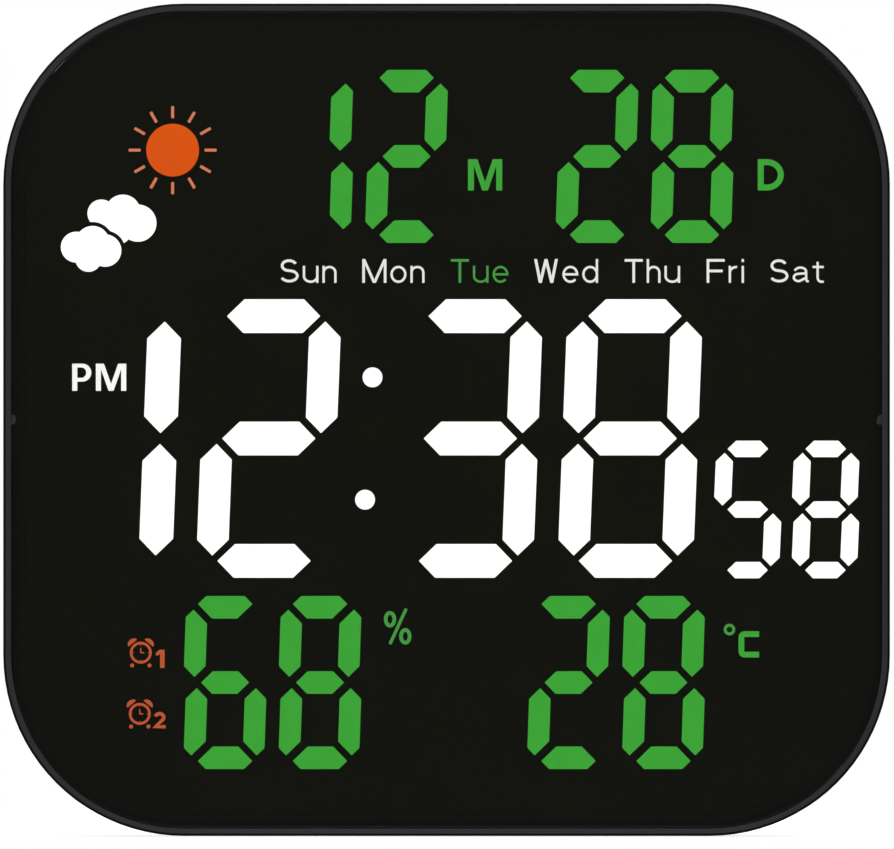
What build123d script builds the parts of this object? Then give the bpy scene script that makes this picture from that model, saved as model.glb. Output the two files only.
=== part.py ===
from build123d import *
from collections import namedtuple
from math import atan2, cos, degrees, hypot, radians, sin, sqrt
import os

# Digital wall clock with a smoked front, lit digits, keys in the back and a fold-out desk leg.
# All sizes are millimetres. The pieces are drawn lying on their back: x runs across the face,
# y runs up the face and z runs from the wall (z = 0) to the front. write() stands them upright,
# so that +Z is up, the face looks along -Y and the origin is the middle of the back, on the wall.

# Time digits
time_column = 29.9
time_row = 35.2
time_across = 9.7
time_upright = 9.05
time_tip_inset = 1.55
time_lean = 0.039
time_digit_gap = 7.05
leading_upright = 9.7
leading_shift = -0.2
colon_gap = 11.95
colon_radius = 2.85
colon_half_spacing = 17.6
colon_lean = 0.061
colon_shift = -0.225

# Seconds digits
seconds_column = 13.95
seconds_row = 17.43
seconds_across = 4.7
seconds_upright = 4.9
seconds_tip_inset = 1.15
seconds_lean = 0.003
seconds_slant = 0.044
seconds_digit_gap = 3.55
seconds_gap = 4.9
seconds_drop = 0.15

# Date, humidity and temperature digits, whose corner tips lie outside the bars' middle lines
green_column = 17.0
green_row = 21.64
green_across = 6.5
green_upright = 6.2
green_tip_inset = 1.6
green_tip_shift = 0.93
green_slant = 0.0345
green_digit_gap = 4.1
month_gap = 31.6

# Free room around the rows of digits, which with them makes the size of the case
left_margin = 10.9
right_margin = 9.05
top_margin = 19.05
weekday_band = 16.21
climate_gap = 5.25
bottom_margin = 19.23
date_right_margin = 45.3
temperature_right_margin = 53.5
humidity_left_margin = 52.2

# Sun and cloud signs, with each cloud a set of round bumps: x, y and radius about the pair's middle
sun_from_left = 48.7
sun_rise = 1.8
sun_radius = 7.6
sun_rays = 12
ray_start = 9.2
ray_end = 12.65
ray_width = 0.85
cloud_from_left = 30.0
cloud_drop = 22.3
cloud_gap = 1.15
front_cloud = ((-9.0, -3.8, 4.45), (-4.3, -2.6, 4.9), (-0.7, -4.8, 4.65), (-5.5, -7.1, 3.8))
rear_cloud = ((-1.8, 5.9, 4.0), (4.4, 6.2, 5.1), (8.7, 3.1, 5.35), (2.9, 1.1, 4.1))

# Light cells behind the printed legends
weekday_from_right = (167.2, 142.8, 118.2, 93.2, 68.3, 47.3, 26.7)
weekday_cell = (17.0, 9.5)
letter_cell = (11.0, 10.5)
noon_cell = (17.5, 9.5)
alarm_cell = (12.0, 10.5)
noon_from_left = 27.55
noon_rise = 17.5
letter_step = 22.6
month_letter_drop = 5.3
percent_rise = 16.2
degree_rise = 12.0
alarm_step = 22.7
alarm_rise = 8.4
alarm_spacing = 17.55

# Case shells
corner_radius = 52.0
side_wall = 2.3
rear_wall = 2.2
rim_edge_radius = 0.9
rim_inner_chamfer = 0.25
rear_edge_radius = 8.0
ledge_inset = 6.3
ledge_thickness = 1.6
parting_rise = 1.2
lip_thickness = 1.0
lip_height = 2.0
lip_clearance = 0.15
tab_radius = 1.4

# Front panel stack
lens_recess = 0.4
lens_thickness = 2.0
lens_clearance = 0.15
lens_edge_radius = 0.3
adhesive_thickness = 0.5
adhesive_width = 1.8
adhesive_edge = 0.2
mask_thickness = 0.3
mask_clearance = 0.3
sign_thickness = 1.5
sign_clearance = 0.05
light_box_depth = 13.8
light_box_clearance = 0.5
light_box_wall = 1.2
light_box_plate = 1.8
sun_cell_margin = 0.6

# Circuit board and what is soldered on it
board_thickness = 1.6
led_length = 2.8
led_width = 2.0
led_height = 1.0
controller_size = 12.0
controller_height = 1.4
controller_foot = 1.0
controller_foot_height = 0.3
controller_rise = 30.0
driver_length = 10.0
driver_width = 4.0
driver_height = 1.6
driver_count = 4
driver_pitch = 26.0
driver_rise = 12.0
crystal_length = 11.0
crystal_width = 4.6
crystal_height = 3.4
crystal_x = 24.0
capacitor_radius = 3.15
capacitor_height = 7.0
capacitor_count = 3
capacitor_pitch = 9.0
capacitor_x = 88.0
can_edge_radius = 0.5
buzzer_radius = 6.0
buzzer_height = 6.0
buzzer_hole_radius = 0.8
buzzer_ring_radius = 3.6
buzzer_holes = 6
buzzer_x = -86.0
buzzer_y = 20.0
sensor_size = 5.0
sensor_height = 2.2
sensor_window_radius = 1.2
sensor_x = -76.0
sensor_y = -58.0
vent_length = 14.0
vent_width = 1.8
vent_count = 6
vent_pitch = 3.4

# Power socket on the board's lower edge
socket_x = -12.4
socket_width = 8.9
socket_height = 3.2
socket_wall = 0.3
socket_length = 7.3
socket_recess = 0.9
socket_clearance = 0.35
tongue_width = 6.7
tongue_thickness = 0.7
tongue_length = 5.8
board_tongue_width = 16.0
board_tongue_clearance = 0.6

# Screws: those of the case go in from behind, those of the board into posts of the bezel
boss_setback = 7.5
boss_radius = 3.75
post_radius = 4.5
post_clearance = 0.6
case_screw_radius = 1.4
case_screw_length = 14.0
case_screw_head_radius = 2.7
case_screw_head_height = 2.0
case_screw_seat = 8.0
screw_clearance = 0.05
screw_head_clearance = 0.3
board_post_edge = 15.5
board_post_radius = 3.25
upper_post_drop = 3.8
lower_post_drop = 16.55
board_screw_radius = 1.2
board_screw_length = 8.0
board_screw_head_radius = 2.5
board_screw_head_height = 1.7
pilot_spare = 1.0
web_thickness = 2.0
web_gap = 1.0
screw_edge_radius = 0.6
cross_length = 3.4
cross_width = 0.8
cross_depth = 0.9

# Keys in the back
key_names = ("mode", "up", "down", "alarm", "light")
key_pitch = 18.0
key_y = 88.0
key_length = 11.0
key_width = 6.0
key_inset = 0.5
key_clearance = 0.25
key_edge_radius = 0.5
key_flange = 1.3
key_flange_height = 1.2
key_flange_gap = 0.1
key_stem_radius = 2.0
key_panel_depth = 1.6
key_panel_margin = 3.5
key_travel = 0.5
switch_size = 6.0
switch_height = 3.5
plunger_radius = 1.7
plunger_clearance = 0.1
plunger_out = 1.3
plunger_in = 1.0
plunger_gap = 0.05

# Keyholes for two wall screws
keyhole_spacing = 110.0
keyhole_y = 52.0
keyhole_head_radius = 4.5
keyhole_slot_width = 4.6
keyhole_drop = 8.0
keyhole_pocket_depth = 6.0
keyhole_pocket_margin = 2.6
pocket_wall = 1.5

# Coin cell under a quarter-turn cap
cell_x = 70.0
cell_y = -40.0
cell_radius = 10.0
cell_thickness = 3.2
cell_clearance = 0.25
cap_radius = 12.35
cap_clearance = 0.25
cap_inset = 0.4
cap_lugs = 3
cap_lug_span = 30.0
cap_lug_reach = 1.85
cap_lug_thickness = 1.2
cap_lug_gap = 0.1
cap_notch_play = 2.0
cap_slot_length = 13.0
cap_slot_width = 1.8
cap_slot_depth = 1.2
cap_nose_radius = 6.0
cap_nose_height = 1.35
cap_nose_gap = 0.15
contact_thickness = 0.4
contact_length = 12.0
contact_width = 4.0
contact_tail = 3.0
contact_play = 0.3

# Desk leg folded into the back
leg_width = 52.0
leg_length = 82.0
leg_thickness = 5.0
leg_face_inset = 0.3
leg_floor_gap = 2.9
leg_gap = 0.5
leg_corner_radius = 3.0
leg_skin = 2.2
leg_rim = 6.0
leg_barrel_radius = 3.2
leg_barrel_inset = 0.4
leg_stop_angle = 40.0
leg_stop_gap = 0.15
leg_heel_half = 1.6
hinge_pin_radius = 1.5
hinge_clearance = 0.06
pin_seat_clearance = 0.03
foot_pad_length = 3.0
foot_pad_margin = 8.0
finger_width = 22.0
finger_length = 9.0
finger_depth = 6.5
finger_socket_gap = 4.5
board_gap = 2.0

# Sizes of the rows of digits and of the whole case
time_width = time_column + time_upright
time_height = 2 * time_row + time_across
time_pitch = time_width + time_digit_gap
seconds_width = seconds_column + seconds_upright
seconds_height = 2 * seconds_row + seconds_across
seconds_pitch = seconds_width + seconds_digit_gap
green_width = green_column + green_upright
green_height = 2 * green_row + green_across
green_pitch = green_width + green_digit_gap
time_row_width = 3 * time_pitch + time_width + colon_gap
case_width = left_margin + time_row_width + seconds_gap + seconds_pitch + seconds_width + right_margin
case_height = (top_margin + green_height + weekday_band + time_height
               + climate_gap + green_height + bottom_margin)
left_edge = -case_width / 2
right_edge = case_width / 2
top_edge = case_height / 2
bottom_edge = -case_height / 2

# Heights above the wall
leg_pocket_depth = leg_face_inset + leg_thickness + leg_floor_gap
board_back = leg_pocket_depth + pocket_wall + board_gap
board_front = board_back + board_thickness
parting = board_front + parting_rise
ledge_front = board_front + light_box_depth
ledge_back = ledge_front - ledge_thickness
sign_back = ledge_front - sign_thickness
mask_front = ledge_front + mask_thickness
lens_back = ledge_front + adhesive_thickness
lens_front = lens_back + lens_thickness
case_depth = lens_front + lens_recess
key_panel_back = key_panel_depth + rear_wall
keyhole_floor = rear_wall + keyhole_pocket_depth
cap_back = rear_wall + cap_lug_gap + cap_lug_thickness
cell_back = cap_back + cap_nose_height + cap_nose_gap
cell_front = cell_back + cell_thickness
cup_floor = cell_front + contact_thickness
switch_back = board_back - switch_height
plunger_tip = switch_back - plunger_out

# Insets from the outline of the case
lens_inset = side_wall + lens_clearance
adhesive_inset = ledge_inset - adhesive_edge - adhesive_width
mask_inset = ledge_inset - adhesive_edge + mask_clearance
light_box_inset = ledge_inset + light_box_clearance

# Places of the digits
hour_tens_x = left_edge + left_margin + time_width / 2
hour_units_x = hour_tens_x + time_pitch
minute_tens_x = hour_units_x + time_pitch + colon_gap
minute_units_x = minute_tens_x + time_pitch
seconds_tens_x = minute_units_x + time_width / 2 + seconds_gap + seconds_width / 2
seconds_units_x = seconds_tens_x + seconds_pitch
day_units_x = right_edge - date_right_margin - green_width / 2
day_tens_x = day_units_x - green_pitch
month_units_x = day_tens_x - green_width - month_gap
month_tens_x = month_units_x - green_pitch
temperature_units_x = right_edge - temperature_right_margin - green_width / 2
temperature_tens_x = temperature_units_x - green_pitch
humidity_tens_x = left_edge + humidity_left_margin + green_width / 2
humidity_units_x = humidity_tens_x + green_pitch
date_y = top_edge - top_margin - green_height / 2
weekday_y = date_y - green_height / 2 - weekday_band / 2
time_y = weekday_y - weekday_band / 2 - time_height / 2
climate_y = time_y - time_height / 2 - climate_gap - green_height / 2
seconds_y = time_y - time_height / 2 + seconds_height / 2 - seconds_drop
colon_x = (hour_units_x + minute_tens_x) / 2 + colon_shift
sun_x = left_edge + sun_from_left
sun_y = date_y + sun_rise
cloud_x = left_edge + cloud_from_left
cloud_y = date_y - cloud_drop

# The bars of a digit carry the usual letters: a top, b and c right, d bottom, e and f left, g middle.
# A digit leans as a whole, and each of its bars slants about its own middle.
DigitStyle = namedtuple("DigitStyle", "column row across upright tip_inset tip_shift lean slant")
Digit = namedtuple("Digit", "node leds style x y lit fitted")
time_style = DigitStyle(time_column, time_row, time_across, time_upright, time_tip_inset, 0,
                        time_lean, time_lean)
leading_style = time_style._replace(upright=leading_upright)
seconds_style = DigitStyle(seconds_column, seconds_row, seconds_across, seconds_upright,
                           seconds_tip_inset, 0, seconds_lean, seconds_slant)
green_style = DigitStyle(green_column, green_row, green_across, green_upright,
                         green_tip_inset, green_tip_shift, 0, green_slant)
every_bar = "abcdefg"
one, two, three, five, six = "bc", "abdeg", "abcdg", "acdfg", "acdefg"
digits = (
    Digit("time_segments", "white_leds", leading_style, hour_tens_x + leading_shift, time_y, one, one),
    Digit("time_segments", "white_leds", time_style, hour_units_x, time_y, two, every_bar),
    Digit("time_segments", "white_leds", time_style, minute_tens_x, time_y, three, every_bar),
    Digit("time_segments", "white_leds", time_style, minute_units_x, time_y, every_bar, every_bar),
    Digit("seconds_segments", "white_leds", seconds_style, seconds_tens_x, seconds_y, five, every_bar),
    Digit("seconds_segments", "white_leds", seconds_style, seconds_units_x, seconds_y, every_bar, every_bar),
    Digit("month_segments", "green_leds", green_style, month_tens_x, date_y, one, one),
    Digit("month_segments", "green_leds", green_style, month_units_x, date_y, two, every_bar),
    Digit("day_segments", "green_leds", green_style, day_tens_x, date_y, two, every_bar),
    Digit("day_segments", "green_leds", green_style, day_units_x, date_y, every_bar, every_bar),
    Digit("humidity_segments", "green_leds", green_style, humidity_tens_x, climate_y, six, every_bar),
    Digit("humidity_segments", "green_leds", green_style, humidity_units_x, climate_y, every_bar, every_bar),
    Digit("temperature_segments", "green_leds", green_style, temperature_tens_x, climate_y, two, every_bar),
    Digit("temperature_segments", "green_leds", green_style, temperature_units_x, climate_y,
          every_bar, every_bar),
)

# Light cells of the legends: their lamps, place and size
LegendCell = namedtuple("LegendCell", "leds x y size")
legend_cells = [LegendCell("white_leds", right_edge - distance, weekday_y, weekday_cell)
                for distance in weekday_from_right]
legend_cells += [
    LegendCell("white_leds", left_edge + noon_from_left, time_y + noon_rise, noon_cell),
    LegendCell("green_leds", month_units_x + letter_step, date_y - month_letter_drop, letter_cell),
    LegendCell("green_leds", day_units_x + letter_step, date_y - month_letter_drop, letter_cell),
    LegendCell("green_leds", humidity_units_x + letter_step, climate_y + percent_rise, letter_cell),
    LegendCell("green_leds", temperature_units_x + letter_step, climate_y + degree_rise, letter_cell),
    LegendCell("orange_leds", humidity_tens_x - alarm_step, climate_y + alarm_rise, alarm_cell),
    LegendCell("orange_leds", humidity_tens_x - alarm_step, climate_y + alarm_rise - alarm_spacing,
               alarm_cell),
]

# Places of the screws, keys and keyholes
corner_signs = ((1, 1), (-1, 1), (-1, -1), (1, -1))
boss_reach = (corner_radius - boss_setback) / sqrt(2)
case_boss_spots = [(across * (right_edge - corner_radius + boss_reach),
                    up * (top_edge - corner_radius + boss_reach)) for across, up in corner_signs]
board_post_rows = {1: date_y - upper_post_drop, -1: time_y - time_height / 2 - lower_post_drop}
board_post_spots = [(across * (right_edge - board_post_edge), board_post_rows[up])
                    for across, up in corner_signs]
key_spots = [((place - (len(key_names) - 1) / 2) * key_pitch, key_y) for place in range(len(key_names))]
keyhole_spots = [(-keyhole_spacing / 2, keyhole_y), (keyhole_spacing / 2, keyhole_y)]

# Desk leg: its finger room clears the power socket, and the heel above its hinge meets the floor
# of the pocket at the stop angle
leg_hinge_z = leg_barrel_inset + leg_barrel_radius
finger_low = bottom_edge + socket_recess + socket_length + finger_socket_gap + pocket_wall
leg_hinge_y = finger_low + finger_length + leg_gap + leg_length
heel_room = leg_pocket_depth - leg_stop_gap - leg_hinge_z
leg_heel = (heel_room - leg_heel_half * cos(radians(leg_stop_angle))) / sin(radians(leg_stop_angle))
leg_pocket_top = leg_hinge_y + hypot(leg_heel, leg_heel_half) + leg_gap
leg_pocket_bottom = leg_hinge_y - leg_length - leg_gap
leg_pocket_width = leg_width + 2 * leg_gap
leg_end = leg_hinge_y - leg_length + foot_pad_length


def slab(outline, low, high):
    """A flat outline made solid between two heights above the wall."""
    return extrude(Pos(0, 0, low) * outline, high - low, dir=(0, 0, 1))


def drum(spot, radius, low, high):
    """A round post or hole that stands on the wall at a spot."""
    return slab(Pos(*spot) * Circle(radius), low, high)


def block(x_range, y_range, z_range):
    """A plain box between two corners."""
    width, height = x_range[1] - x_range[0], y_range[1] - y_range[0]
    middle = Pos((x_range[0] + x_range[1]) / 2, (y_range[0] + y_range[1]) / 2)
    return slab(middle * Rectangle(width, height), *z_range)


def cross_rod(radius, length, y, z):
    """A round rod along x, centred on the middle of the case."""
    return Pos(0, y, z) * Rot(0, 90, 0) * Cylinder(radius, length)


def case_outline(inset):
    """The outline of the case, taken in on all sides."""
    return RectangleRounded(case_width - 2 * inset, case_height - 2 * inset, corner_radius - inset)


def case_ring(outer_inset, inner_inset, low, high):
    """A frame that follows the outline of the case."""
    return slab(case_outline(outer_inset) - case_outline(inner_inset), low, high)


def wedge(inner_radius, outer_radius, span, angle):
    """A piece of a flat ring, centred on an angle."""
    reach = 2 * outer_radius
    low, high = radians(angle - span / 2), radians(angle + span / 2)
    corners = [(reach * cos(turn), reach * sin(turn)) for turn in (low, high)]
    fan = Polygon((0, 0), *corners, align=None)
    return (Circle(outer_radius) - Circle(inner_radius)) & fan


def write(name, *pieces):
    """Stand a node's solids upright and write them to their file."""
    solids = [Plane.XZ.location * solid for piece in pieces for solid in piece.solids()]
    export_step(solids[0] if len(solids) == 1 else Compound(solids), f"parts/{name}.step")


def bar_points(style, bar, grow):
    """Corners of one bar of a digit, about the middle of its cross bar."""
    inset = style.tip_inset - grow * sqrt(2)
    half_across = style.across / 2 + grow
    half_upright = style.upright / 2 + grow
    half_column = style.column / 2
    shift = style.tip_shift
    if bar in "adg":
        side = {"a": 1, "g": 0, "d": -1}[bar]
        middle = side * style.row
        tip = half_column + abs(side) * shift - inset
        upper = tip - half_across + side * shift
        lower = tip - half_across - side * shift
        tip_y, top, bottom = middle + side * shift, middle + half_across, middle - half_across
        points = [(tip, tip_y), (upper, top), (-upper, top), (-tip, tip_y), (-lower, bottom), (lower, bottom)]
    else:
        right = 1 if bar in "bc" else -1
        up = 1 if bar in "bf" else -1
        far = style.row + shift - inset
        outside = right * (half_column + half_upright)
        inside = right * (half_column - half_upright)
        points = [(right * (half_column + shift), up * far), (outside, up * (far - half_upright + shift)),
                  (outside, up * (inset + half_upright)), (right * half_column, up * inset),
                  (inside, up * (inset + half_upright)), (inside, up * (far - half_upright - shift))]
    centre_y = sum(y for x, y in points) / len(points)
    return [(x + style.lean * centre_y + style.slant * (y - centre_y), y) for x, y in points]


def bar_face(digit, bar, grow):
    """The outline of one bar of a digit, where it lies on the face."""
    return Polygon(*[(digit.x + x, digit.y + y) for x, y in bar_points(digit.style, bar, grow)], align=None)


def bump_cloud(bumps, grow):
    """A cloud outline: round bumps run together."""
    outline = Sketch()
    for x, y, radius in bumps:
        outline += Pos(cloud_x + x, cloud_y + y) * Circle(radius + grow)
    return outline


def sign_faces(grow):
    """Every window of the display, as pairs of a node's name and an outline."""
    faces = []
    for digit in digits:
        for bar in digit.fitted:
            faces.append((digit.node if bar in digit.lit else "unlit_segments", bar_face(digit, bar, grow)))
    for up in (1, -1):
        spot = Pos(colon_x + up * colon_half_spacing * colon_lean, time_y + up * colon_half_spacing)
        faces.append(("colon_dots", spot * Circle(colon_radius + grow)))
    faces.append(("sun_icon", Pos(sun_x, sun_y) * Circle(sun_radius + grow)))
    for ray in range(sun_rays):
        bar = Rectangle(ray_end - ray_start + 2 * grow, ray_width + 2 * grow)
        place = Pos(sun_x, sun_y) * Rot(0, 0, ray * 360 / sun_rays) * Pos((ray_start + ray_end) / 2, 0)
        faces.append(("sun_icon", place * bar))
    faces.append(("cloud_icon", bump_cloud(front_cloud, grow)))
    faces.append(("cloud_icon", bump_cloud(rear_cloud, grow) - bump_cloud(front_cloud, cloud_gap - grow)))
    return faces


def legend_faces(grow):
    """Outlines of the light cells behind the printed legends."""
    faces = []
    for cell in legend_cells:
        width, height = cell.size
        faces.append(Pos(cell.x, cell.y) * Rectangle(width + 2 * grow, height + 2 * grow))
    return faces


def windowed(outline, windows):
    """A flat outline with a hole for each window."""
    return Face(outline.face().outer_wire(), [window.face().outer_wire() for window in windows])


def notched_outline(inset):
    """The outline taken in, with a bite at each corner for the case posts."""
    outline = case_outline(inset)
    for spot in case_boss_spots:
        outline -= Pos(*spot) * Circle(post_radius + post_clearance)
    return outline


def outward_web(spot, angle, reach, low, high):
    """A thin wall that ties a post to the side of the case."""
    strip = Pos(reach / 2, 0) * Rectangle(reach, web_thickness)
    return slab(Pos(*spot) * Rot(0, 0, angle) * strip, low, high)


def make_front_bezel():
    """The front frame: rim, lens ledge, posts for the case and board screws, and two lens tabs."""
    bezel = slab(case_outline(0), parting, case_depth)
    bezel = fillet(bezel.edges().group_by(Axis.Z)[-1], rim_edge_radius)
    bezel -= slab(case_outline(side_wall), ledge_front, case_depth)
    rim = bezel.faces().sort_by(Axis.Z)[-1]
    bezel = bezel.chamfer(rim_inner_chamfer, None, rim.inner_wires()[0].edges())
    bezel -= slab(case_outline(ledge_inset), ledge_back, ledge_front)
    bezel -= slab(case_outline(side_wall), parting, ledge_back)
    rebate_top = parting + lip_height + lip_clearance
    bezel -= slab(case_outline(side_wall - lip_thickness - lip_clearance), parting, rebate_top)
    for across in (1, -1):
        bezel += drum((across * (right_edge - side_wall), 0), tab_radius, ledge_back, lens_front)
    web_low = rebate_top + web_gap
    for spot, (across, up) in zip(case_boss_spots, corner_signs):
        angle = degrees(atan2(up, across))
        bezel += drum(spot, boss_radius, parting, ledge_back)
        bezel += outward_web(spot, angle, boss_setback - side_wall / 2, web_low, ledge_back)
        bezel -= drum(spot, case_screw_radius + screw_clearance, parting,
                      case_screw_seat + case_screw_length + pilot_spare)
    for spot, (across, up) in zip(board_post_spots, corner_signs):
        bezel += drum(spot, board_post_radius, board_front, ledge_back)
        bezel += outward_web(spot, 90 - 90 * across, board_post_edge - side_wall / 2, web_low, ledge_back)
        bezel -= drum(spot, board_screw_radius + screw_clearance, board_front,
                      board_back + board_screw_length + pilot_spare)
    return bezel


def tab_notches(outline, clearance):
    """An outline with room for the two tabs of the rim."""
    for across in (1, -1):
        outline -= Pos(across * (right_edge - side_wall), 0) * Circle(tab_radius + clearance)
    return outline


def make_front_lens():
    """The smoked front panel, notched for the rim tabs."""
    lens = slab(tab_notches(case_outline(lens_inset), lens_clearance), lens_back, lens_front)
    return fillet(lens.edges().group_by(Axis.Z)[-1], lens_edge_radius)


def make_light_box():
    """The block that keeps the light of each sign apart, with a cell for each sign and legend."""
    outline = notched_outline(light_box_inset)
    slot_half = board_post_radius + post_clearance
    for (x, y), (across, up) in zip(board_post_spots, corner_signs):
        outline -= Pos(x, y) * Circle(slot_half)
        outline -= Pos(x + across * board_post_edge / 2, y) * Rectangle(board_post_edge, 2 * slot_half)
    cells = [face for node, face in sign_faces(sign_clearance)] + legend_faces(0)
    box = slab(windowed(outline, cells), board_front, ledge_front)
    sun_cell = ray_end + sun_cell_margin
    walls = [face for node, face in sign_faces(sign_clearance + light_box_wall)]
    walls += legend_faces(light_box_wall)
    walls.append(Pos(sun_x, sun_y) * Circle(sun_cell + light_box_wall))
    room = offset(outline, -light_box_wall) - walls
    box -= slab(room, board_front, ledge_front - light_box_plate)
    return box - drum((sun_x, sun_y), sun_cell, board_front, sign_back)


def make_display_mask():
    """The black printed film with a window for each sign."""
    windows = [face for node, face in sign_faces(0)]
    return slab(windowed(case_outline(mask_inset), windows), ledge_front, mask_front)


def make_signs():
    """The milky resin pieces that show as lit or dark signs, by node."""
    signs = {}
    for node, face in sign_faces(0):
        signs.setdefault(node, []).append(slab(face, sign_back, ledge_front))
    return signs


def led(x, y, upright):
    """One lamp on the front of the board."""
    size = (led_width, led_length) if upright else (led_length, led_width)
    return slab(Pos(x, y) * Rectangle(*size), board_front, board_front + led_height)


def make_leds():
    """The lamps of all cells, by node."""
    leds = {"white_leds": [], "green_leds": [], "orange_leds": []}
    for digit in digits:
        for bar in digit.fitted:
            points = bar_points(digit.style, bar, 0)
            x = digit.x + sum(point[0] for point in points) / len(points)
            y = digit.y + sum(point[1] for point in points) / len(points)
            leds[digit.leds].append(led(x, y, bar not in "adg"))
    for up in (1, -1):
        x = colon_x + up * colon_half_spacing * colon_lean
        leds["white_leds"].append(led(x, time_y + up * colon_half_spacing, True))
    for bumps in (front_cloud, rear_cloud):
        x, y, radius = bumps[2]
        leds["white_leds"].append(led(cloud_x + x, cloud_y + y, False))
    for cell in legend_cells:
        leds[cell.leds].append(led(cell.x, cell.y, False))
    for side in (-1, 0, 1):
        leds["orange_leds"].append(led(sun_x + side * (led_length + led_width), sun_y, True))
    return leds


def make_main_board():
    """The circuit board, with a tongue for the power socket."""
    outline = notched_outline(light_box_inset)
    tongue_low = bottom_edge + side_wall + board_tongue_clearance
    tongue_high = bottom_edge + corner_radius
    tongue = Rectangle(board_tongue_width, tongue_high - tongue_low)
    outline += Pos(socket_x, (tongue_low + tongue_high) / 2) * tongue
    board = slab(outline, board_back, board_front)
    for spot in board_post_spots:
        board -= drum(spot, board_screw_radius + screw_head_clearance, board_back, board_front)
    return board


def on_board(outline, height):
    """A component that stands on the back of the board."""
    return slab(outline, board_back - height, board_back)


def make_controller_chip():
    """The main chip with its flat foot of leads."""
    spot = Pos(0, controller_rise)
    foot = controller_size + 2 * controller_foot
    chip = on_board(spot * Rectangle(foot, foot), controller_foot_height)
    body = RectangleRounded(controller_size, controller_size, controller_foot / 2)
    return chip + on_board(spot * body, controller_height)


def make_driver_chips():
    """A row of chips that drive the lamps."""
    start = -(driver_count - 1) / 2 * driver_pitch
    return [on_board(Pos(start + place * driver_pitch, driver_rise) * Rectangle(driver_length, driver_width),
                     driver_height) for place in range(driver_count)]


def make_clock_crystal():
    """The timing crystal in its metal can."""
    outline = SlotOverall(crystal_length, crystal_width)
    can = on_board(Pos(crystal_x, controller_rise) * outline, crystal_height)
    return fillet(can.edges().group_by(Axis.Z)[0], can_edge_radius)


def make_filter_capacitors():
    """A column of round capacitors."""
    start = driver_rise - (capacitor_count - 1) / 2 * capacitor_pitch
    cans = []
    for place in range(capacitor_count):
        spot = Pos(capacitor_x, start + place * capacitor_pitch)
        can = on_board(spot * Circle(capacitor_radius), capacitor_height)
        cans.append(fillet(can.edges().group_by(Axis.Z)[0], can_edge_radius))
    return cans


def make_buzzer():
    """The alarm buzzer, a round can with a sound hole."""
    spot = (buzzer_x, buzzer_y)
    back = board_back - buzzer_height
    can = drum(spot, buzzer_radius, back, board_back)
    return can - drum(spot, buzzer_hole_radius, back, back + buzzer_height / 2)


def make_climate_sensor():
    """The temperature and humidity sensor behind the vent slots."""
    spot = Pos(sensor_x, sensor_y)
    back = board_back - sensor_height
    sensor = on_board(spot * Rectangle(sensor_size, sensor_size), sensor_height)
    return sensor - slab(spot * Circle(sensor_window_radius), back, back + sensor_height / 2)


def along_socket(outline, low, high):
    """An outline across the power socket made solid between two heights up the face."""
    spot = Plane.XZ.offset(-high) * Pos(socket_x, board_back - socket_height / 2)
    return extrude(spot * outline, high - low, dir=(0, -1, 0))


def make_power_socket():
    """The metal shell of the power socket, closed at its back, and the contact tongue in it."""
    mouth = bottom_edge + socket_recess
    inner = SlotOverall(socket_width - 2 * socket_wall, socket_height - 2 * socket_wall)
    floor = mouth + socket_length - socket_wall
    shell = along_socket(SlotOverall(socket_width, socket_height), mouth, mouth + socket_length)
    shell -= along_socket(inner, mouth, floor)
    tongue = along_socket(Rectangle(tongue_width, tongue_thickness), floor - tongue_length, floor)
    return shell, tongue


def screw(spot, seat, shank_radius, length, head_radius, head_height):
    """A cross-head screw whose head rests on a seat, with its shank towards the front."""
    body = drum(spot, head_radius, seat - head_height, seat) + drum(spot, shank_radius, seat, seat + length)
    body = fillet(body.edges().group_by(Axis.Z)[0], screw_edge_radius)
    for angle in (0, 90):
        groove = Pos(*spot) * Rot(0, 0, angle) * Rectangle(cross_length, cross_width)
        body -= slab(groove, seat - head_height, seat - head_height + cross_depth)
    return body


def make_case_screws():
    """The screws that hold the rear cover to the bezel."""
    return [screw(spot, case_screw_seat, case_screw_radius, case_screw_length,
                  case_screw_head_radius, case_screw_head_height) for spot in case_boss_spots]


def make_board_screws():
    """The screws that hold the board to the bezel's posts."""
    return [screw(spot, board_back, board_screw_radius, board_screw_length,
                  board_screw_head_radius, board_screw_head_height) for spot in board_post_spots]


def make_key(spot):
    """A key cap with the flange that keeps it in and the stem that meets the switch."""
    place = Pos(*spot)
    flange_back = key_panel_back + key_flange_gap
    cap = slab(place * SlotOverall(key_length, key_width), key_inset, flange_back)
    cap = fillet(cap.edges().group_by(Axis.Z)[0], key_edge_radius)
    flange = place * SlotOverall(key_length + 2 * key_flange, key_width + 2 * key_flange)
    cap += slab(flange, flange_back, flange_back + key_flange_height)
    return cap + drum(spot, key_stem_radius, flange_back + key_flange_height, plunger_tip - plunger_gap)


def make_switch_plunger(spot):
    """The plunger of one switch, which the key pushes."""
    return drum(spot, plunger_radius, plunger_tip, switch_back + plunger_in)


def make_key_switches():
    """The bodies of the switches under the keys."""
    bore = plunger_in + key_travel + plunger_clearance
    bodies = []
    for spot in key_spots:
        body = slab(Pos(*spot) * Rectangle(switch_size, switch_size), switch_back, board_back)
        bodies.append(body - drum(spot, plunger_radius + plunger_clearance, switch_back, switch_back + bore))
    return bodies


def make_coin_cell():
    """The back-up coin cell."""
    cell = drum((cell_x, cell_y), cell_radius, cell_back, cell_front)
    return fillet(cell.edges(), cell_clearance)


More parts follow.
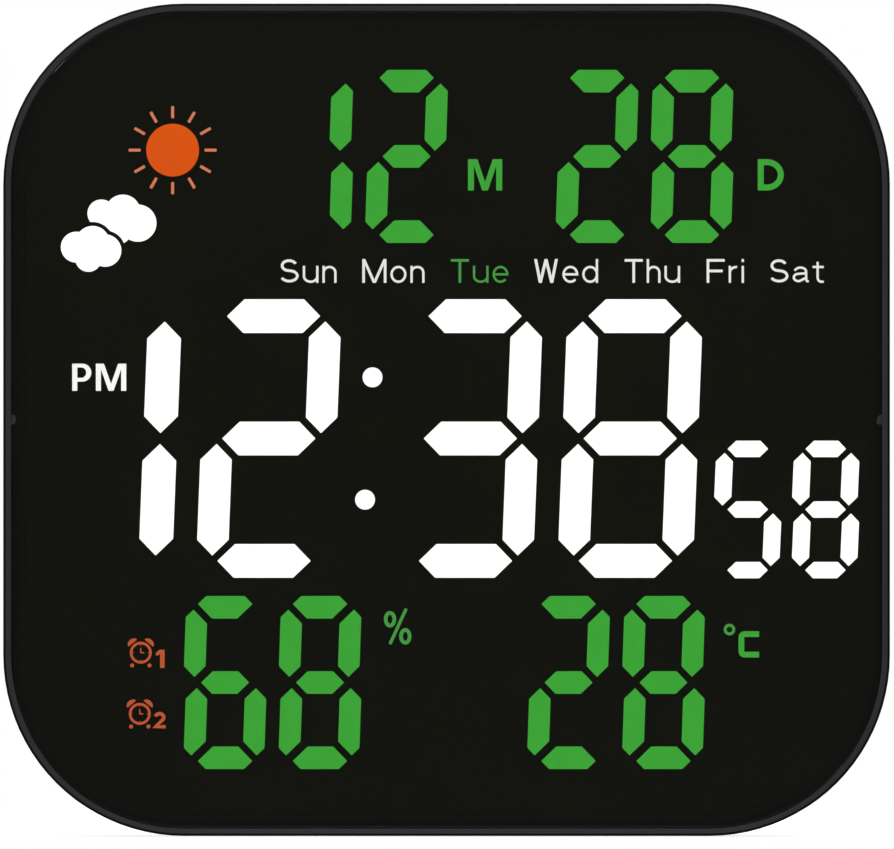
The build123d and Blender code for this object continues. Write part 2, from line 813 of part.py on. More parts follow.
def make_cell_contacts():
    """The strip under the cell and the clip at its edge, with their tails down to the board."""
    half_tail = contact_tail / 2
    under = block((cell_x - contact_length / 2, cell_x + contact_length / 2),
                  (cell_y - contact_width / 2, cell_y + contact_width / 2), (cell_front, cup_floor))
    under += block((cell_x - half_tail, cell_x + half_tail),
                   (cell_y - contact_thickness / 2, cell_y + contact_thickness / 2), (cup_floor, board_back))
    edge = cell_x + cell_radius + cell_clearance / 2
    clip = block((edge, edge + contact_thickness), (cell_y - contact_width / 2, cell_y + contact_width / 2),
                 (cell_back + cell_clearance, board_back))
    return under, clip


def make_battery_cap():
    """The quarter-turn cap over the coin cell, with its lugs, coin slot and pressing nose."""
    cap = slab(Circle(cap_radius), cap_inset, cap_back)
    cap = fillet(cap.edges().group_by(Axis.Z)[0], key_edge_radius)
    for lug in range(cap_lugs):
        outline = wedge(cap_nose_radius, cap_radius + cap_lug_reach, cap_lug_span, lug * 360 / cap_lugs)
        cap += slab(outline, rear_wall + cap_lug_gap, cap_back)
    cap += slab(Circle(cap_nose_radius), cap_back, cap_back + cap_nose_height)
    cap -= slab(Rectangle(cap_slot_length, cap_slot_width), cap_inset, cap_inset + cap_slot_depth)
    return Pos(cell_x, cell_y) * cap


def make_desk_leg():
    """The fold-out leg: a ribbed plate with a hinge barrel and a heel that stops it."""
    half = leg_width / 2
    plate_top = leg_face_inset + leg_thickness
    plate = Pos(0, (leg_hinge_y + leg_end) / 2) * Rectangle(leg_width, leg_hinge_y - leg_end)
    leg = slab(plate, leg_face_inset, plate_top)
    foot_corners = leg.edges().filter_by(Axis.Z).group_by(Axis.Y)[0]
    leg = fillet(foot_corners, leg_corner_radius)
    leg += cross_rod(leg_barrel_radius, leg_width, leg_hinge_y, leg_hinge_z)
    leg += block((-half, half), (leg_hinge_y, leg_hinge_y + leg_heel),
                 (leg_hinge_z - leg_heel_half, leg_hinge_z + leg_heel_half))
    hollow_low, hollow_high = leg_end + leg_rim, leg_hinge_y - leg_barrel_radius - leg_rim / 2
    rib = leg_rim / 4
    for side in (-1, 1):
        inner, outer = side * rib, side * (half - leg_rim)
        leg -= block((min(inner, outer), max(inner, outer)), (hollow_low, hollow_high), (leg_skin, plate_top))
    return leg - cross_rod(hinge_pin_radius + hinge_clearance, leg_width + leg_gap, leg_hinge_y, leg_hinge_z)


def make_leg_hinge_pin():
    """The steel pin through the leg's barrel, seated in the pocket walls."""
    return cross_rod(hinge_pin_radius, leg_pocket_width + 2 * pocket_wall - leg_gap, leg_hinge_y, leg_hinge_z)


def make_leg_foot_pad():
    """The rubber pad on the end of the leg."""
    half = leg_width / 2 - foot_pad_margin
    pad = block((-half, half), (leg_end - foot_pad_length, leg_end),
                (2 * leg_face_inset, leg_thickness))
    return fillet(pad.edges().filter_by(Axis.Z).group_by(Axis.Y)[0], foot_pad_length / 2)


def key_panel(grow):
    """The outline of the sunk panel that the keys stand in."""
    length = (len(key_names) - 1) * key_pitch + key_length + 2 * (key_panel_margin + grow)
    width = key_width + 2 * (key_panel_margin + grow)
    return Pos(0, key_y) * RectangleRounded(length, width, key_panel_margin + grow)


def keyhole_pocket(spot, grow):
    """The outline of the closed pocket behind a keyhole."""
    width = 2 * (keyhole_head_radius + keyhole_pocket_margin + grow)
    middle = Pos(spot[0], spot[1] + keyhole_drop / 2)
    return middle * RectangleRounded(width, width + keyhole_drop, keyhole_pocket_margin + grow)


def keyhole(spot):
    """The outline of a keyhole: a round hole for the head and a slot above it for the shank."""
    slot = Pos(0, keyhole_drop / 2) * Rectangle(keyhole_slot_width, keyhole_drop)
    outline = Circle(keyhole_head_radius) + slot + Pos(0, keyhole_drop) * Circle(keyhole_slot_width / 2)
    return Pos(*spot) * outline


def leg_pocket(grow):
    """The outline of the pocket that the desk leg folds into."""
    height = leg_pocket_top - leg_pocket_bottom + 2 * grow
    middle = Pos(0, (leg_pocket_top + leg_pocket_bottom) / 2)
    return middle * RectangleRounded(leg_pocket_width + 2 * grow, height, leg_gap + grow)


def finger_pocket(grow):
    """The outline of the finger room at the foot of the leg."""
    middle = Pos(0, (finger_low + leg_pocket_bottom + leg_rim) / 2)
    length = finger_length + leg_rim + 2 * grow
    return middle * RectangleRounded(finger_width + 2 * grow, length, leg_corner_radius + grow)


def make_rear_cover():
    """The back shell with everything that is sunk into it or stands on its inside."""
    cover = slab(case_outline(0), 0, parting)
    cover = fillet(cover.edges().group_by(Axis.Z)[0], rear_edge_radius)
    hollow = slab(case_outline(side_wall), rear_wall, parting)
    hollow = fillet(hollow.edges().group_by(Axis.Z)[0], rear_edge_radius - rear_wall)
    cover -= hollow
    cover += case_ring(side_wall - lip_thickness, side_wall, parting - lip_height, parting + lip_height)
    cover += slab(key_panel(pocket_wall), rear_wall, key_panel_back)
    cover += slab(leg_pocket(pocket_wall), rear_wall, leg_pocket_depth + pocket_wall)
    cover += slab(finger_pocket(pocket_wall), rear_wall, finger_depth + pocket_wall)
    cup_radius = cap_radius + cap_lug_reach + cell_clearance + pocket_wall
    cover += drum((cell_x, cell_y), cup_radius, rear_wall, cup_floor + pocket_wall)
    for spot in keyhole_spots:
        cover += slab(keyhole_pocket(spot, pocket_wall), rear_wall, keyhole_floor + pocket_wall)
    for spot in case_boss_spots:
        cover += drum(spot, post_radius, rear_wall, parting)
    cover -= slab(key_panel(0), 0, key_panel_depth)
    for spot in key_spots:
        hole = SlotOverall(key_length + 2 * key_clearance, key_width + 2 * key_clearance)
        cover -= slab(Pos(*spot) * hole, key_panel_depth, key_panel_back)
    cover -= slab(leg_pocket(0), 0, leg_pocket_depth)
    cover -= slab(finger_pocket(0), 0, finger_depth)
    cover -= cross_rod(hinge_pin_radius + pin_seat_clearance, leg_pocket_width + 2 * pocket_wall,
                       leg_hinge_y, leg_hinge_z)
    for spot in keyhole_spots:
        cover -= slab(keyhole_pocket(spot, 0), rear_wall, keyhole_floor)
        cover -= slab(keyhole(spot), 0, rear_wall)
    for spot in case_boss_spots:
        cover -= drum(spot, case_screw_head_radius + screw_head_clearance, 0, case_screw_seat)
        cover -= drum(spot, case_screw_radius + screw_head_clearance, case_screw_seat, parting)
    cover -= make_cell_room()
    for place in range(vent_count):
        rise = (place - (vent_count - 1) / 2) * vent_pitch
        cover -= slab(Pos(sensor_x, sensor_y + rise) * SlotOverall(vent_length, vent_width), 0, rear_wall)
    cover -= drum((buzzer_x, buzzer_y), buzzer_hole_radius, 0, rear_wall)
    for place in range(buzzer_holes):
        turn = radians(place * 360 / buzzer_holes)
        x = buzzer_x + buzzer_ring_radius * cos(turn)
        y = buzzer_y + buzzer_ring_radius * sin(turn)
        cover -= drum((x, y), buzzer_hole_radius, 0, rear_wall)
    cutout = SlotOverall(socket_width + 2 * socket_clearance, socket_height + 2 * socket_clearance)
    return cover - along_socket(cutout, bottom_edge, bottom_edge + side_wall)


def make_cell_room():
    """The space of the coin cell, its cap and its contacts, to be cut from the rear cover."""
    lug_radius = cap_radius + cap_lug_reach + cell_clearance
    hole_radius = cap_radius + cap_clearance
    room = slab(Circle(hole_radius), 0, rear_wall)
    half_step = 180 / cap_lugs
    for notch in range(cap_lugs):
        angle = notch * 360 / cap_lugs + half_step
        notch_outline = wedge(cap_nose_radius, lug_radius, cap_lug_span + 2 * cap_notch_play, angle)
        room += slab(notch_outline, 0, rear_wall)
    room += slab(Circle(lug_radius), rear_wall, cap_back + cell_clearance)
    room += slab(Circle(cell_radius + cell_clearance), cap_back + cell_clearance, cup_floor)
    slot_length = contact_tail + 2 * contact_play
    slot_width = contact_thickness + 2 * contact_play
    room += slab(Rectangle(slot_length, slot_width), cup_floor, cup_floor + pocket_wall)
    groove_end = cell_radius + cell_clearance / 2 + contact_thickness + contact_play
    groove_middle = Pos((cell_radius / 2 + groove_end) / 2, 0)
    groove = Rectangle(groove_end - cell_radius / 2, contact_width + 2 * contact_play)
    room += slab(groove_middle * groove, cap_back + cell_clearance, cup_floor)
    tail_middle = Pos((cell_radius + groove_end) / 2, 0)
    tail = Rectangle(groove_end - cell_radius, contact_width + 2 * contact_play)
    room += slab(tail_middle * tail, cup_floor, cup_floor + pocket_wall)
    return Pos(cell_x, cell_y) * room


os.makedirs("parts", exist_ok=True)
write("front_bezel", make_front_bezel())
write("front_lens", make_front_lens())
write("lens_adhesive", case_ring(adhesive_inset, adhesive_inset + adhesive_width, ledge_front, lens_back))
write("display_mask", make_display_mask())
for node, pieces in make_signs().items():
    write(node, *pieces)
write("light_box", make_light_box())
write("main_board", make_main_board())
for node, pieces in make_leds().items():
    write(node, *pieces)
write("controller_chip", make_controller_chip())
write("driver_chips", *make_driver_chips())
write("clock_crystal", make_clock_crystal())
write("filter_capacitors", *make_filter_capacitors())
write("buzzer", make_buzzer())
write("climate_sensor", make_climate_sensor())
socket_shell, socket_tongue = make_power_socket()
write("power_socket_shell", socket_shell)
write("power_socket_tongue", socket_tongue)
write("coin_cell", make_coin_cell())
write("cell_contacts", *make_cell_contacts())
write("battery_cap", make_battery_cap())
write("key_switches", *make_key_switches())
for name, spot in zip(key_names, key_spots):
    write(f"{name}_key", make_key(spot))
    write(f"{name}_switch_plunger", make_switch_plunger(spot))
write("rear_cover", make_rear_cover())
write("desk_leg", make_desk_leg())
write("leg_hinge_pin", make_leg_hinge_pin())
write("leg_foot_pad", make_leg_foot_pad())
write("case_screws", *make_case_screws())
write("board_screws", *make_board_screws())
print(f"case {case_width:.2f} x {case_height:.2f} x {case_depth:.2f}")
print(f"leg hinge at y {leg_hinge_y:.2f}, z {leg_hinge_z:.2f}, heel {leg_heel:.2f}")
print(f"board {board_back:.2f} to {board_front:.2f}, parting {parting:.2f}")
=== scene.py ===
# %% [markdown]
# # A digital wall clock
# This lesson dresses a finished construction. The case, the lens, the lit bars of the digits, the keys
# and the fold-out leg are already solid parts at their real size. What is left for Blender is what the
# eye reads first: the finish of each surface, the printed signs between the film and the lens, the
# small marks on the back, and the studio that the clock is photographed in.

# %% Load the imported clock
import math

import bmesh
import bpy
from mathutils import Matrix, Vector
from mathutils.geometry import delaunay_2d_cdt


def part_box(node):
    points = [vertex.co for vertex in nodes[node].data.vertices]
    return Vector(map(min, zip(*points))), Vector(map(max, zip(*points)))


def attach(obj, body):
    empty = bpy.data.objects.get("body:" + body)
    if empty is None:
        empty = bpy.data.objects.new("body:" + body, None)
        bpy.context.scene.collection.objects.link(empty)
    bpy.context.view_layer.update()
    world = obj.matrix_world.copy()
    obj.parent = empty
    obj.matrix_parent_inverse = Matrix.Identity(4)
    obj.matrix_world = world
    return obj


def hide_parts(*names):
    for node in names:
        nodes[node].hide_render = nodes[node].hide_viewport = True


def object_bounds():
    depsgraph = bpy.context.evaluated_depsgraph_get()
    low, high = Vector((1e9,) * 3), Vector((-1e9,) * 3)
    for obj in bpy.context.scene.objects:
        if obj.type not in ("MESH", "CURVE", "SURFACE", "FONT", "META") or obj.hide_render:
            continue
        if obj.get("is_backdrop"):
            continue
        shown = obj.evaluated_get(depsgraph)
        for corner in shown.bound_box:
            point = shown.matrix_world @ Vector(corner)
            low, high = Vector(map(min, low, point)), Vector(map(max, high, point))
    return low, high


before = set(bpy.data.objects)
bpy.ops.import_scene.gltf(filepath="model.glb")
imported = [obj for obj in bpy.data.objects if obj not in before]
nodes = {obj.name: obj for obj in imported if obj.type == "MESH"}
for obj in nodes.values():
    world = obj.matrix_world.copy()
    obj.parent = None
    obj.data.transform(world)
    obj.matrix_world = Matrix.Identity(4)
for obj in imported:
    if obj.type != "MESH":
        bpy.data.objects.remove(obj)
cad_low, cad_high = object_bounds()
scene = bpy.context.scene
MM = 0.001
case_size = (cad_high - cad_low) / MM
print("clock", [round(side, 1) for side in case_size], "mm,", len(nodes), "parts")

# %% [markdown]
# ## The camera
# The clock was photographed straight from the front with a long lens, so all its sides stay hidden.
# A long lens is better than an orthographic camera here: when the same camera is moved round the clock, a
# trace of perspective keeps those views natural. The case fills almost the whole picture, so its width in
# pixels gives the size of one pixel, and its middle gives the place of the camera.

# %% Place the camera
PHOTO_WIDTH = 894
PHOTO_HEIGHT = 849
CASE_WIDTH_IN_PIXELS = 886.8
CASE_MIDDLE_PIXEL = (446.58, 419.76)
CAMERA_DISTANCE = 7.0
SENSOR_WIDTH = 36.0

pixel = (cad_high.x - cad_low.x) / CASE_WIDTH_IN_PIXELS
camera_data = bpy.data.cameras.new("front_camera")
camera_data.sensor_width = SENSOR_WIDTH
camera_data.lens = SENSOR_WIDTH * CAMERA_DISTANCE / (PHOTO_WIDTH * pixel)
camera_data.clip_end = 4 * CAMERA_DISTANCE
camera = bpy.data.objects.new("front_camera", camera_data)
camera.location = ((PHOTO_WIDTH / 2 - CASE_MIDDLE_PIXEL[0]) * pixel, cad_low.y - CAMERA_DISTANCE,
                   (CASE_MIDDLE_PIXEL[1] - PHOTO_HEIGHT / 2) * pixel)
camera.rotation_euler = (math.radians(90), 0, 0)
scene.collection.objects.link(camera)
scene.camera = camera
scene.view_settings.view_transform = "Standard"
print("lens", round(camera_data.lens), "mm, one pixel is", round(pixel / MM, 4), "mm")

# %% [markdown]
# ## A bench for nodes
# Materials, the world and the shape-making trees are all node trees. Adding nodes by hand is wordy, so
# a small class wraps one socket and lets it stand in plain arithmetic: `1 - mask` adds a Math node.
# Every other node comes from one method, which takes the kind of node, its settings and its inputs.

# %% Wrap sockets and trees
class Wire:
    """A socket that can be used in an expression."""

    def __init__(self, bench, socket):
        self.bench = bench
        self.socket = socket

    def other(self, name):
        """Another output of the same node."""
        return Wire(self.bench, self.socket.node.outputs[name])

    def __add__(self, value):
        return self.bench.maths("ADD", self, value)

    def __radd__(self, value):
        return self.bench.maths("ADD", value, self)

    def __sub__(self, value):
        return self.bench.maths("SUBTRACT", self, value)

    def __rsub__(self, value):
        return self.bench.maths("SUBTRACT", value, self)

    def __mul__(self, value):
        return self.bench.maths("MULTIPLY", self, value)

    def __rmul__(self, value):
        return self.bench.maths("MULTIPLY", value, self)


class Bench:
    """A node tree to work in."""

    def __init__(self, tree):
        self.tree = tree

    def node(self, kind, settings=None, inputs=None, out=0):
        """Add a node: its settings come first, then the values or wires of its sockets."""
        made = self.tree.nodes.new(kind)
        for name, value in (settings or {}).items():
            if name == "stops":
                self.set_stops(made.color_ramp, value)
            else:
                setattr(made, name, value)
        for name, value in (inputs or {}).items():
            if isinstance(value, Wire):
                self.tree.links.new(value.socket, made.inputs[name])
            else:
                made.inputs[name].default_value = value
        return Wire(self, made.outputs[out]) if made.outputs else made

    def set_stops(self, ramp, stops):
        """Set the places of a ramp and their grey shades."""
        while len(ramp.elements) < len(stops):
            ramp.elements.new(1.0)
        for element, (place, shade) in zip(ramp.elements, stops):
            element.position = place
            element.color = (shade, shade, shade, 1.0)

    def maths(self, operation, first, second):
        return self.node("ShaderNodeMath", {"operation": operation}, {0: first, 1: second})

    def mix(self, factor, first, second):
        """Blend two colours."""
        return self.node("ShaderNodeMix", {"data_type": "RGBA"}, {0: factor, 6: first, 7: second}, out=2)

    def fade(self, value, start, end, low=0.0, high=1.0):
        """Turn a value into a soft step, which goes from low to high between start and end."""
        return self.node("ShaderNodeMapRange", {"interpolation_type": "SMOOTHSTEP"}, {
            "Value": value, "From Min": start, "From Max": end, "To Min": low, "To Max": high})

    def distance(self, place, spot):
        """How far a place on the surface is from a spot."""
        return self.node("ShaderNodeVectorMath", {"operation": "DISTANCE"}, {0: place, 1: spot}, out="Value")

    def noise(self, place, waves, detail=2.0):
        """A soft random pattern, with its size in waves per metre."""
        return self.node("ShaderNodeTexNoise", None, {"Vector": place, "Scale": waves, "Detail": detail})


def linear(red, green, blue):
    """A colour as the screen shows it, 0 to 255, turned into light by the sRGB curve."""
    shares = [code / 255 for code in (red, green, blue)]
    return [share / 12.92 if share <= 0.04045 else ((share + 0.055) / 1.055) ** 2.4 for share in shares]


print("screen grey 128 is", round(linear(128, 128, 128)[0], 3), "in light")

# %% [markdown]
# ## The studio
# A black glossy face is a mirror, so the room around it matters more than the lamps. The room is bright
# above, fair below and dim at eye level, which leaves the face deep black from the front. The camera
# itself sees plain white behind the clock. Large softboxes hang on both sides, behind and above. The pale
# floor lies a hair below the clock and fades out at its edge, so that no hard line is mirrored in the face.

# %% Build the room
# Each stop is a height, from straight down at 0 to straight up at 1, and its shade
ROOM_SHADES = ((0.0, 0.42), (0.36, 0.3), (0.47, 0.12), (0.5, 0.10), (0.54, 0.15), (0.72, 0.45), (1.0, 0.7))
WHITE = (1.0, 1.0, 1.0, 1.0)

world = bpy.data.worlds.new("studio_room")
world.use_nodes = True
world.node_tree.nodes.clear()
scene.world = world
room = Bench(world.node_tree)
direction = room.node("ShaderNodeTexCoord", out="Generated")
height = room.node("ShaderNodeSeparateXYZ", None, {"Vector": direction}, out="Z")
shade = room.node("ShaderNodeValToRGB", {"stops": ROOM_SHADES}, {"Fac": 0.5 + height * 0.5})
surroundings = room.node("ShaderNodeBackground", None, {"Color": shade})
backdrop = room.node("ShaderNodeBackground", None, {"Color": WHITE})
seen = room.node("ShaderNodeLightPath", out="Is Camera Ray")
both = room.node("ShaderNodeMixShader", None, {0: seen, 1: surroundings, 2: backdrop})
room.node("ShaderNodeOutputWorld", None, {"Surface": both})
print("room with", len(ROOM_SHADES), "shades")


# %% Hang the softboxes
def softbox(name, place, width, height, watts):
    """A rectangular lamp that looks at the middle of the clock."""
    data = bpy.data.lights.new(name, "AREA")
    data.shape = "RECTANGLE"
    data.size = width
    data.size_y = height
    data.energy = watts
    lamp = bpy.data.objects.new(name, data)
    lamp.location = place
    lamp.rotation_euler = (-Vector(place)).to_track_quat("-Z", "Y").to_euler()
    scene.collection.objects.link(lamp)
    print(name, watts, "W")


softbox("left_softbox", place=(-1.5, -1.5, 1.5), width=1.0, height=0.8, watts=34)
softbox("right_softbox", place=(1.6, -1.3, 1.2), width=0.8, height=0.8, watts=20)
softbox("rear_softbox", place=(1.3, 1.5, 1.5), width=0.8, height=0.8, watts=26)
softbox("top_softbox", place=(0.0, 0.1, 1.9), width=1.2, height=1.2, watts=24)

# %% Lay the floor
FLOOR_RADIUS = 0.36
FLOOR_SETBACK = 0.27
FLOOR_FADE = 0.65
FLOOR_DROP = 0.0002
FLOOR_SIDES = 96
FLOOR_GLOW = 0.62
PAPER_WAVES = 9.0
PAPER_TONES = ((0.44, 0.44, 0.44, 1.0), (0.48, 0.48, 0.48, 1.0))

floor_mesh = bpy.data.meshes.new("pale_floor")
floor_shape = bmesh.new()
bmesh.ops.create_circle(floor_shape, cap_ends=True, segments=FLOOR_SIDES, radius=FLOOR_RADIUS)
floor_shape.to_mesh(floor_mesh)
floor_shape.free()
floor = bpy.data.objects.new("pale_floor", floor_mesh)
floor.location = (0, FLOOR_SETBACK, cad_low.z - FLOOR_DROP)
scene.collection.objects.link(floor)
floor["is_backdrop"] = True

floor_finish = bpy.data.materials.new("pale_floor")
floor_finish.use_nodes = True
floor_finish.node_tree.nodes.clear()
bench = Bench(floor_finish.node_tree)
spot = bench.node("ShaderNodeTexCoord", out="Object")
paper = bench.mix(bench.noise(spot, PAPER_WAVES), *PAPER_TONES)
sheet = bench.node("ShaderNodeBsdfPrincipled", None, {
    "Base Color": paper, "Roughness": 0.7, "Emission Color": WHITE, "Emission Strength": FLOOR_GLOW})
gone = bench.fade(bench.distance(spot, (0.0, 0.0, 0.0)), FLOOR_FADE * FLOOR_RADIUS, FLOOR_RADIUS)
nothing = bench.node("ShaderNodeBsdfTransparent")
faded = bench.node("ShaderNodeMixShader", None, {0: gone, 1: sheet, 2: nothing})
bench.node("ShaderNodeOutputMaterial", None, {"Surface": faded})
floor_mesh.materials.append(floor_finish)
print("floor", 2 * FLOOR_RADIUS, "m across, at", round(floor.location.z / MM, 1), "mm")

# %% [markdown]
# ## Finishes
# A moulded surface is never one flat colour. Its tone and its gloss drift a little over a hand's width,
# and a fine grain from the mould breaks up the highlights. One function makes all such finishes from
# the same three noises, and only the numbers differ. Sizes of noises are in waves per metre. Pieces that
# hands and cloths touch are also rubbed a little smoother and paler where they round off to the back.

# %% Start a finish
GRAIN_STRENGTH = 0.6
finishes = {}


def start_finish(name):
    """A new empty material, with its bench and the place on the piece."""
    material = bpy.data.materials.new(name)
    material.use_nodes = True
    material.node_tree.nodes.clear()
    finishes[name] = material
    made = Bench(material.node_tree)
    return made, made.node("ShaderNodeTexCoord", out="Object")


def end_finish(made, surface):
    """Close a finish with its surface, or with the inputs of a plain one."""
    if isinstance(surface, dict):
        surface = made.node("ShaderNodeBsdfPrincipled", None, surface)
    made.node("ShaderNodeOutputMaterial", None, {"Surface": surface})


def shaded(colour, factor):
    """A colour made lighter or darker, ready for a socket."""
    return [min(1.0, part * factor) for part in colour] + [1.0]


def grained(made, place, waves, depth):
    """The normal of a surface with a fine grain from its mould."""
    return made.node("ShaderNodeBump", None, {
        "Strength": GRAIN_STRENGTH, "Distance": depth, "Height": made.noise(place, waves)})


print("grain at", GRAIN_STRENGTH, "of its strength")

# %% Moulded surfaces
TONE_WAVES = 28.0
GLOSS_WAVES = 90.0
TONE_DRIFT = 0.12
GLOSS_DRIFT = 0.16
INK_TONE = (0.62, 0.62, 0.60)
RUB_WAVES = 55.0
RUB_PATCHES = (0.3, 0.7)
RUB_PALE = 1.7
RUB_POLISH = 0.14


def rubbed(made, place):
    """Where hands and cloths rub: in patches, most where a side turns halfway round to the back."""
    facing = made.node("ShaderNodeSeparateXYZ", None, {"Vector": place.other("Normal")}, out="Y")
    backward = made.fade(facing, 0.0, 1.0)
    # The product is a quarter at most
    halfway = backward * (1 - backward) * 4
    return halfway * made.fade(made.noise(place, RUB_WAVES, detail=4.0), *RUB_PATCHES)


def moulded(name, colour, roughness, grain_waves, grain_depth, shine, handled=False, printed=None):
    """A moulded surface with drifting tone and gloss, the grain of its mould, and marks if it is printed."""
    made, place = start_finish(name)
    drift = made.noise(place, TONE_WAVES, detail=3.0)
    smear = made.noise(place, GLOSS_WAVES, detail=4.0)
    base = made.mix(drift, shaded(colour, 1 - TONE_DRIFT), shaded(colour, 1 + TONE_DRIFT))
    gloss = roughness + (smear - 0.5) * GLOSS_DRIFT
    if handled:
        rub = rubbed(made, place)
        base = made.mix(rub, base, shaded(colour, RUB_PALE))
        gloss = gloss - rub * RUB_POLISH
    if printed:
        base = made.mix(printed(made, place), base, shaded(INK_TONE, 1.0))
    end_finish(made, {
        "Base Color": base,
        "Roughness": gloss,
        "Specular IOR Level": shine,
        "Normal": grained(made, place, grain_waves, grain_depth * MM)})


print("tone drifts by", TONE_DRIFT, "and gloss by", GLOSS_DRIFT)

# %% Plastics, films and rubbers
CAP_MARK_RADIUS = 0.0166
CAP_OPEN_TURN = 60.0
MARK_RADIUS = 0.0008
MARK_PEN = 0.0004
FILM_BLACK = (0.046, 0.054, 0.004)

# Colour, roughness, waves of the grain per metre, depth of the grain in millimetres, and shine
# True stands last where hands touch the piece
MOULDED = {
    "cover_plastic": ((0.018, 0.018, 0.019), 0.56, 1900.0, 0.06, 0.5, True),
    "key_plastic": ((0.046, 0.046, 0.048), 0.34, 1500.0, 0.01, 0.5, True),
    "plunger_plastic": ((0.09, 0.05, 0.03), 0.45, 1200.0, 0.01, 0.5),
    "mask_film": (FILM_BLACK, 0.62, 2400.0, 0.008, 0.0),
    "dark_sign": (FILM_BLACK, 0.62, 1800.0, 0.008, 0.0),
    "adhesive_foam": (FILM_BLACK, 0.9, 3000.0, 0.08, 0.0),
    "light_box_plastic": ((0.78, 0.78, 0.76), 0.45, 1200.0, 0.01, 0.5),
    "lamp_resin": ((0.82, 0.76, 0.45), 0.3, 2500.0, 0.01, 0.5),
    "chip_resin": ((0.018, 0.018, 0.02), 0.5, 3500.0, 0.02, 0.5),
    "sensor_plastic": ((0.7, 0.7, 0.68), 0.5, 2200.0, 0.01, 0.5),
    "pad_rubber": ((0.018, 0.018, 0.018), 0.82, 1400.0, 0.07, 0.5),
    "key_ink": (INK_TONE, 0.5, 2600.0, 0.006, 0.5),
}


def lock_marks(made, place):
    """Where the cover is printed: a dot where the cap's pointer is closed, and a ring where it is open."""
    low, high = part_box("battery_cap")
    middle = (low + high) / 2
    distances = []
    for turn in (0.0, math.radians(CAP_OPEN_TURN)):
        mark = (middle.x + CAP_MARK_RADIUS * math.sin(turn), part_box("rear_cover")[1].y,
                middle.z + CAP_MARK_RADIUS * math.cos(turn))
        distances.append(made.distance(place, mark))
    dot = made.maths("LESS_THAN", distances[0], MARK_RADIUS)
    from_ring = made.maths("ABSOLUTE", distances[1] - MARK_RADIUS, 0.0)
    return dot + made.maths("LESS_THAN", from_ring, MARK_PEN / 2)


for name, recipe in MOULDED.items():
    moulded(name, *recipe)
moulded("cover_with_marks", *MOULDED["cover_plastic"], printed=lock_marks)
print(len(finishes), "moulded finishes")

# %% [markdown]
# ## The rim
# The front land of the frame is a shade lighter than the rest: a painted highlight, where the flat land
# catches the light. So are its inner chamfer and the two small tabs beside the lens. The rounded edge round
# the land is eroded to a dead matt black. The depth of a point below the front tells these apart all the way
# round. Only the chamfer is as deep as the rounded edge, but it faces inwards. Where it faces up, its
# painted highlight mostly gives way to the plain tone.

# %% Frame with a painted highlight on its land
LAND_DEPTH = 0.00001
LAND_FADE = 0.00004
EDGE_DEPTH = 0.0009
CHAMFER_DEPTH = 0.0003
# The slopes over which the chamfer's painted highlight fades where it faces up, and the share that is left
UPWARD_SLOPES = (0.1, 0.7)
UPWARD_HIGHLIGHT_SHARE = 0.17
TAB_REACH = 0.0016
RIM_GRAIN = (1500.0, 0.000012)
DULL_TONES = ((0.006, 0.006, 0.0065, 1.0), (0.008, 0.008, 0.0085, 1.0))
# Painted highlight: a lighter base colour than the plastic's own, for the land, the chamfer and the tabs
PAINTED_HIGHLIGHT_TONES = ((0.0265, 0.0265, 0.0285, 1.0), (0.0315, 0.0315, 0.0335, 1.0))
LAND_POLISH = 0.08
RIM_ROUGHNESS = 0.5
RIM_SHINE = 0.15

made, place = start_finish("bezel_plastic")
depth = made.node("ShaderNodeSeparateXYZ", None, {"Vector": place}, out="Y") - cad_low.y
front = made.fade(depth, LAND_DEPTH, LAND_DEPTH + LAND_FADE, 1.0, 0.0)
lens_low, lens_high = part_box("front_lens")
either_side = made.node("ShaderNodeVectorMath", {"operation": "ABSOLUTE"}, {0: place})
from_tab = made.distance(either_side, (lens_high.x, -lens_low.y, 0.0))
facing = place.other("Normal")
outward = made.node("ShaderNodeVectorMath", {"operation": "DOT_PRODUCT"}, {0: facing, 1: place}, out="Value")
inner = made.maths("LESS_THAN", outward, 0.0) * made.maths("LESS_THAN", depth, CHAMFER_DEPTH)
upward = made.node("ShaderNodeSeparateXYZ", None, {"Vector": facing}, out="Z")
# The chamfer's painted highlight mostly gives way to the plain tone where it faces up
chamfer = inner * made.fade(upward, *UPWARD_SLOPES, 1.0, UPWARD_HIGHLIGHT_SHARE)
tabs = made.maths("LESS_THAN", from_tab, TAB_REACH)
# Where the painted highlight goes: the land, the chamfer and the tabs
land = made.maths("MAXIMUM", front, made.maths("MAXIMUM", chamfer, tabs))
edge = made.fade(depth, EDGE_DEPTH, 2 * EDGE_DEPTH, 1.0, 0.0) * (1 - land)
drift = made.noise(place, TONE_WAVES, detail=3.0)
smear = made.noise(place, GLOSS_WAVES, detail=4.0)
grain = grained(made, place, *RIM_GRAIN)
dull = made.mix(drift, *DULL_TONES)
# The painted highlight: the plastic's colour made lighter where the land catches the light
painted_highlight_tone = made.mix(drift, *PAINTED_HIGHLIGHT_TONES)
smooth = made.node("ShaderNodeBsdfPrincipled", None, {
    "Base Color": made.mix(land, dull, painted_highlight_tone),
    "Roughness": RIM_ROUGHNESS + (smear - 0.5) * GLOSS_DRIFT - land * LAND_POLISH,
    "Specular IOR Level": RIM_SHINE, "Normal": grain})
eroded = made.node("ShaderNodeBsdfPrincipled", None, {
    "Base Color": dull, "Roughness": 1.0, "Specular IOR Level": 0.0, "Normal": grain})
end_finish(made, made.node("ShaderNodeMixShader", None, {0: edge, 1: smooth, 2: eroded}))
print("land within", LAND_DEPTH / MM, "mm of the front, edge within", EDGE_DEPTH / MM, "mm")

# %% [markdown]
# ## Metals
# Screws, the socket shell and the cell are drawn or turned metal. Its brushed look is a noise that is
# stretched along one axis, so that a highlight spreads across the strokes.

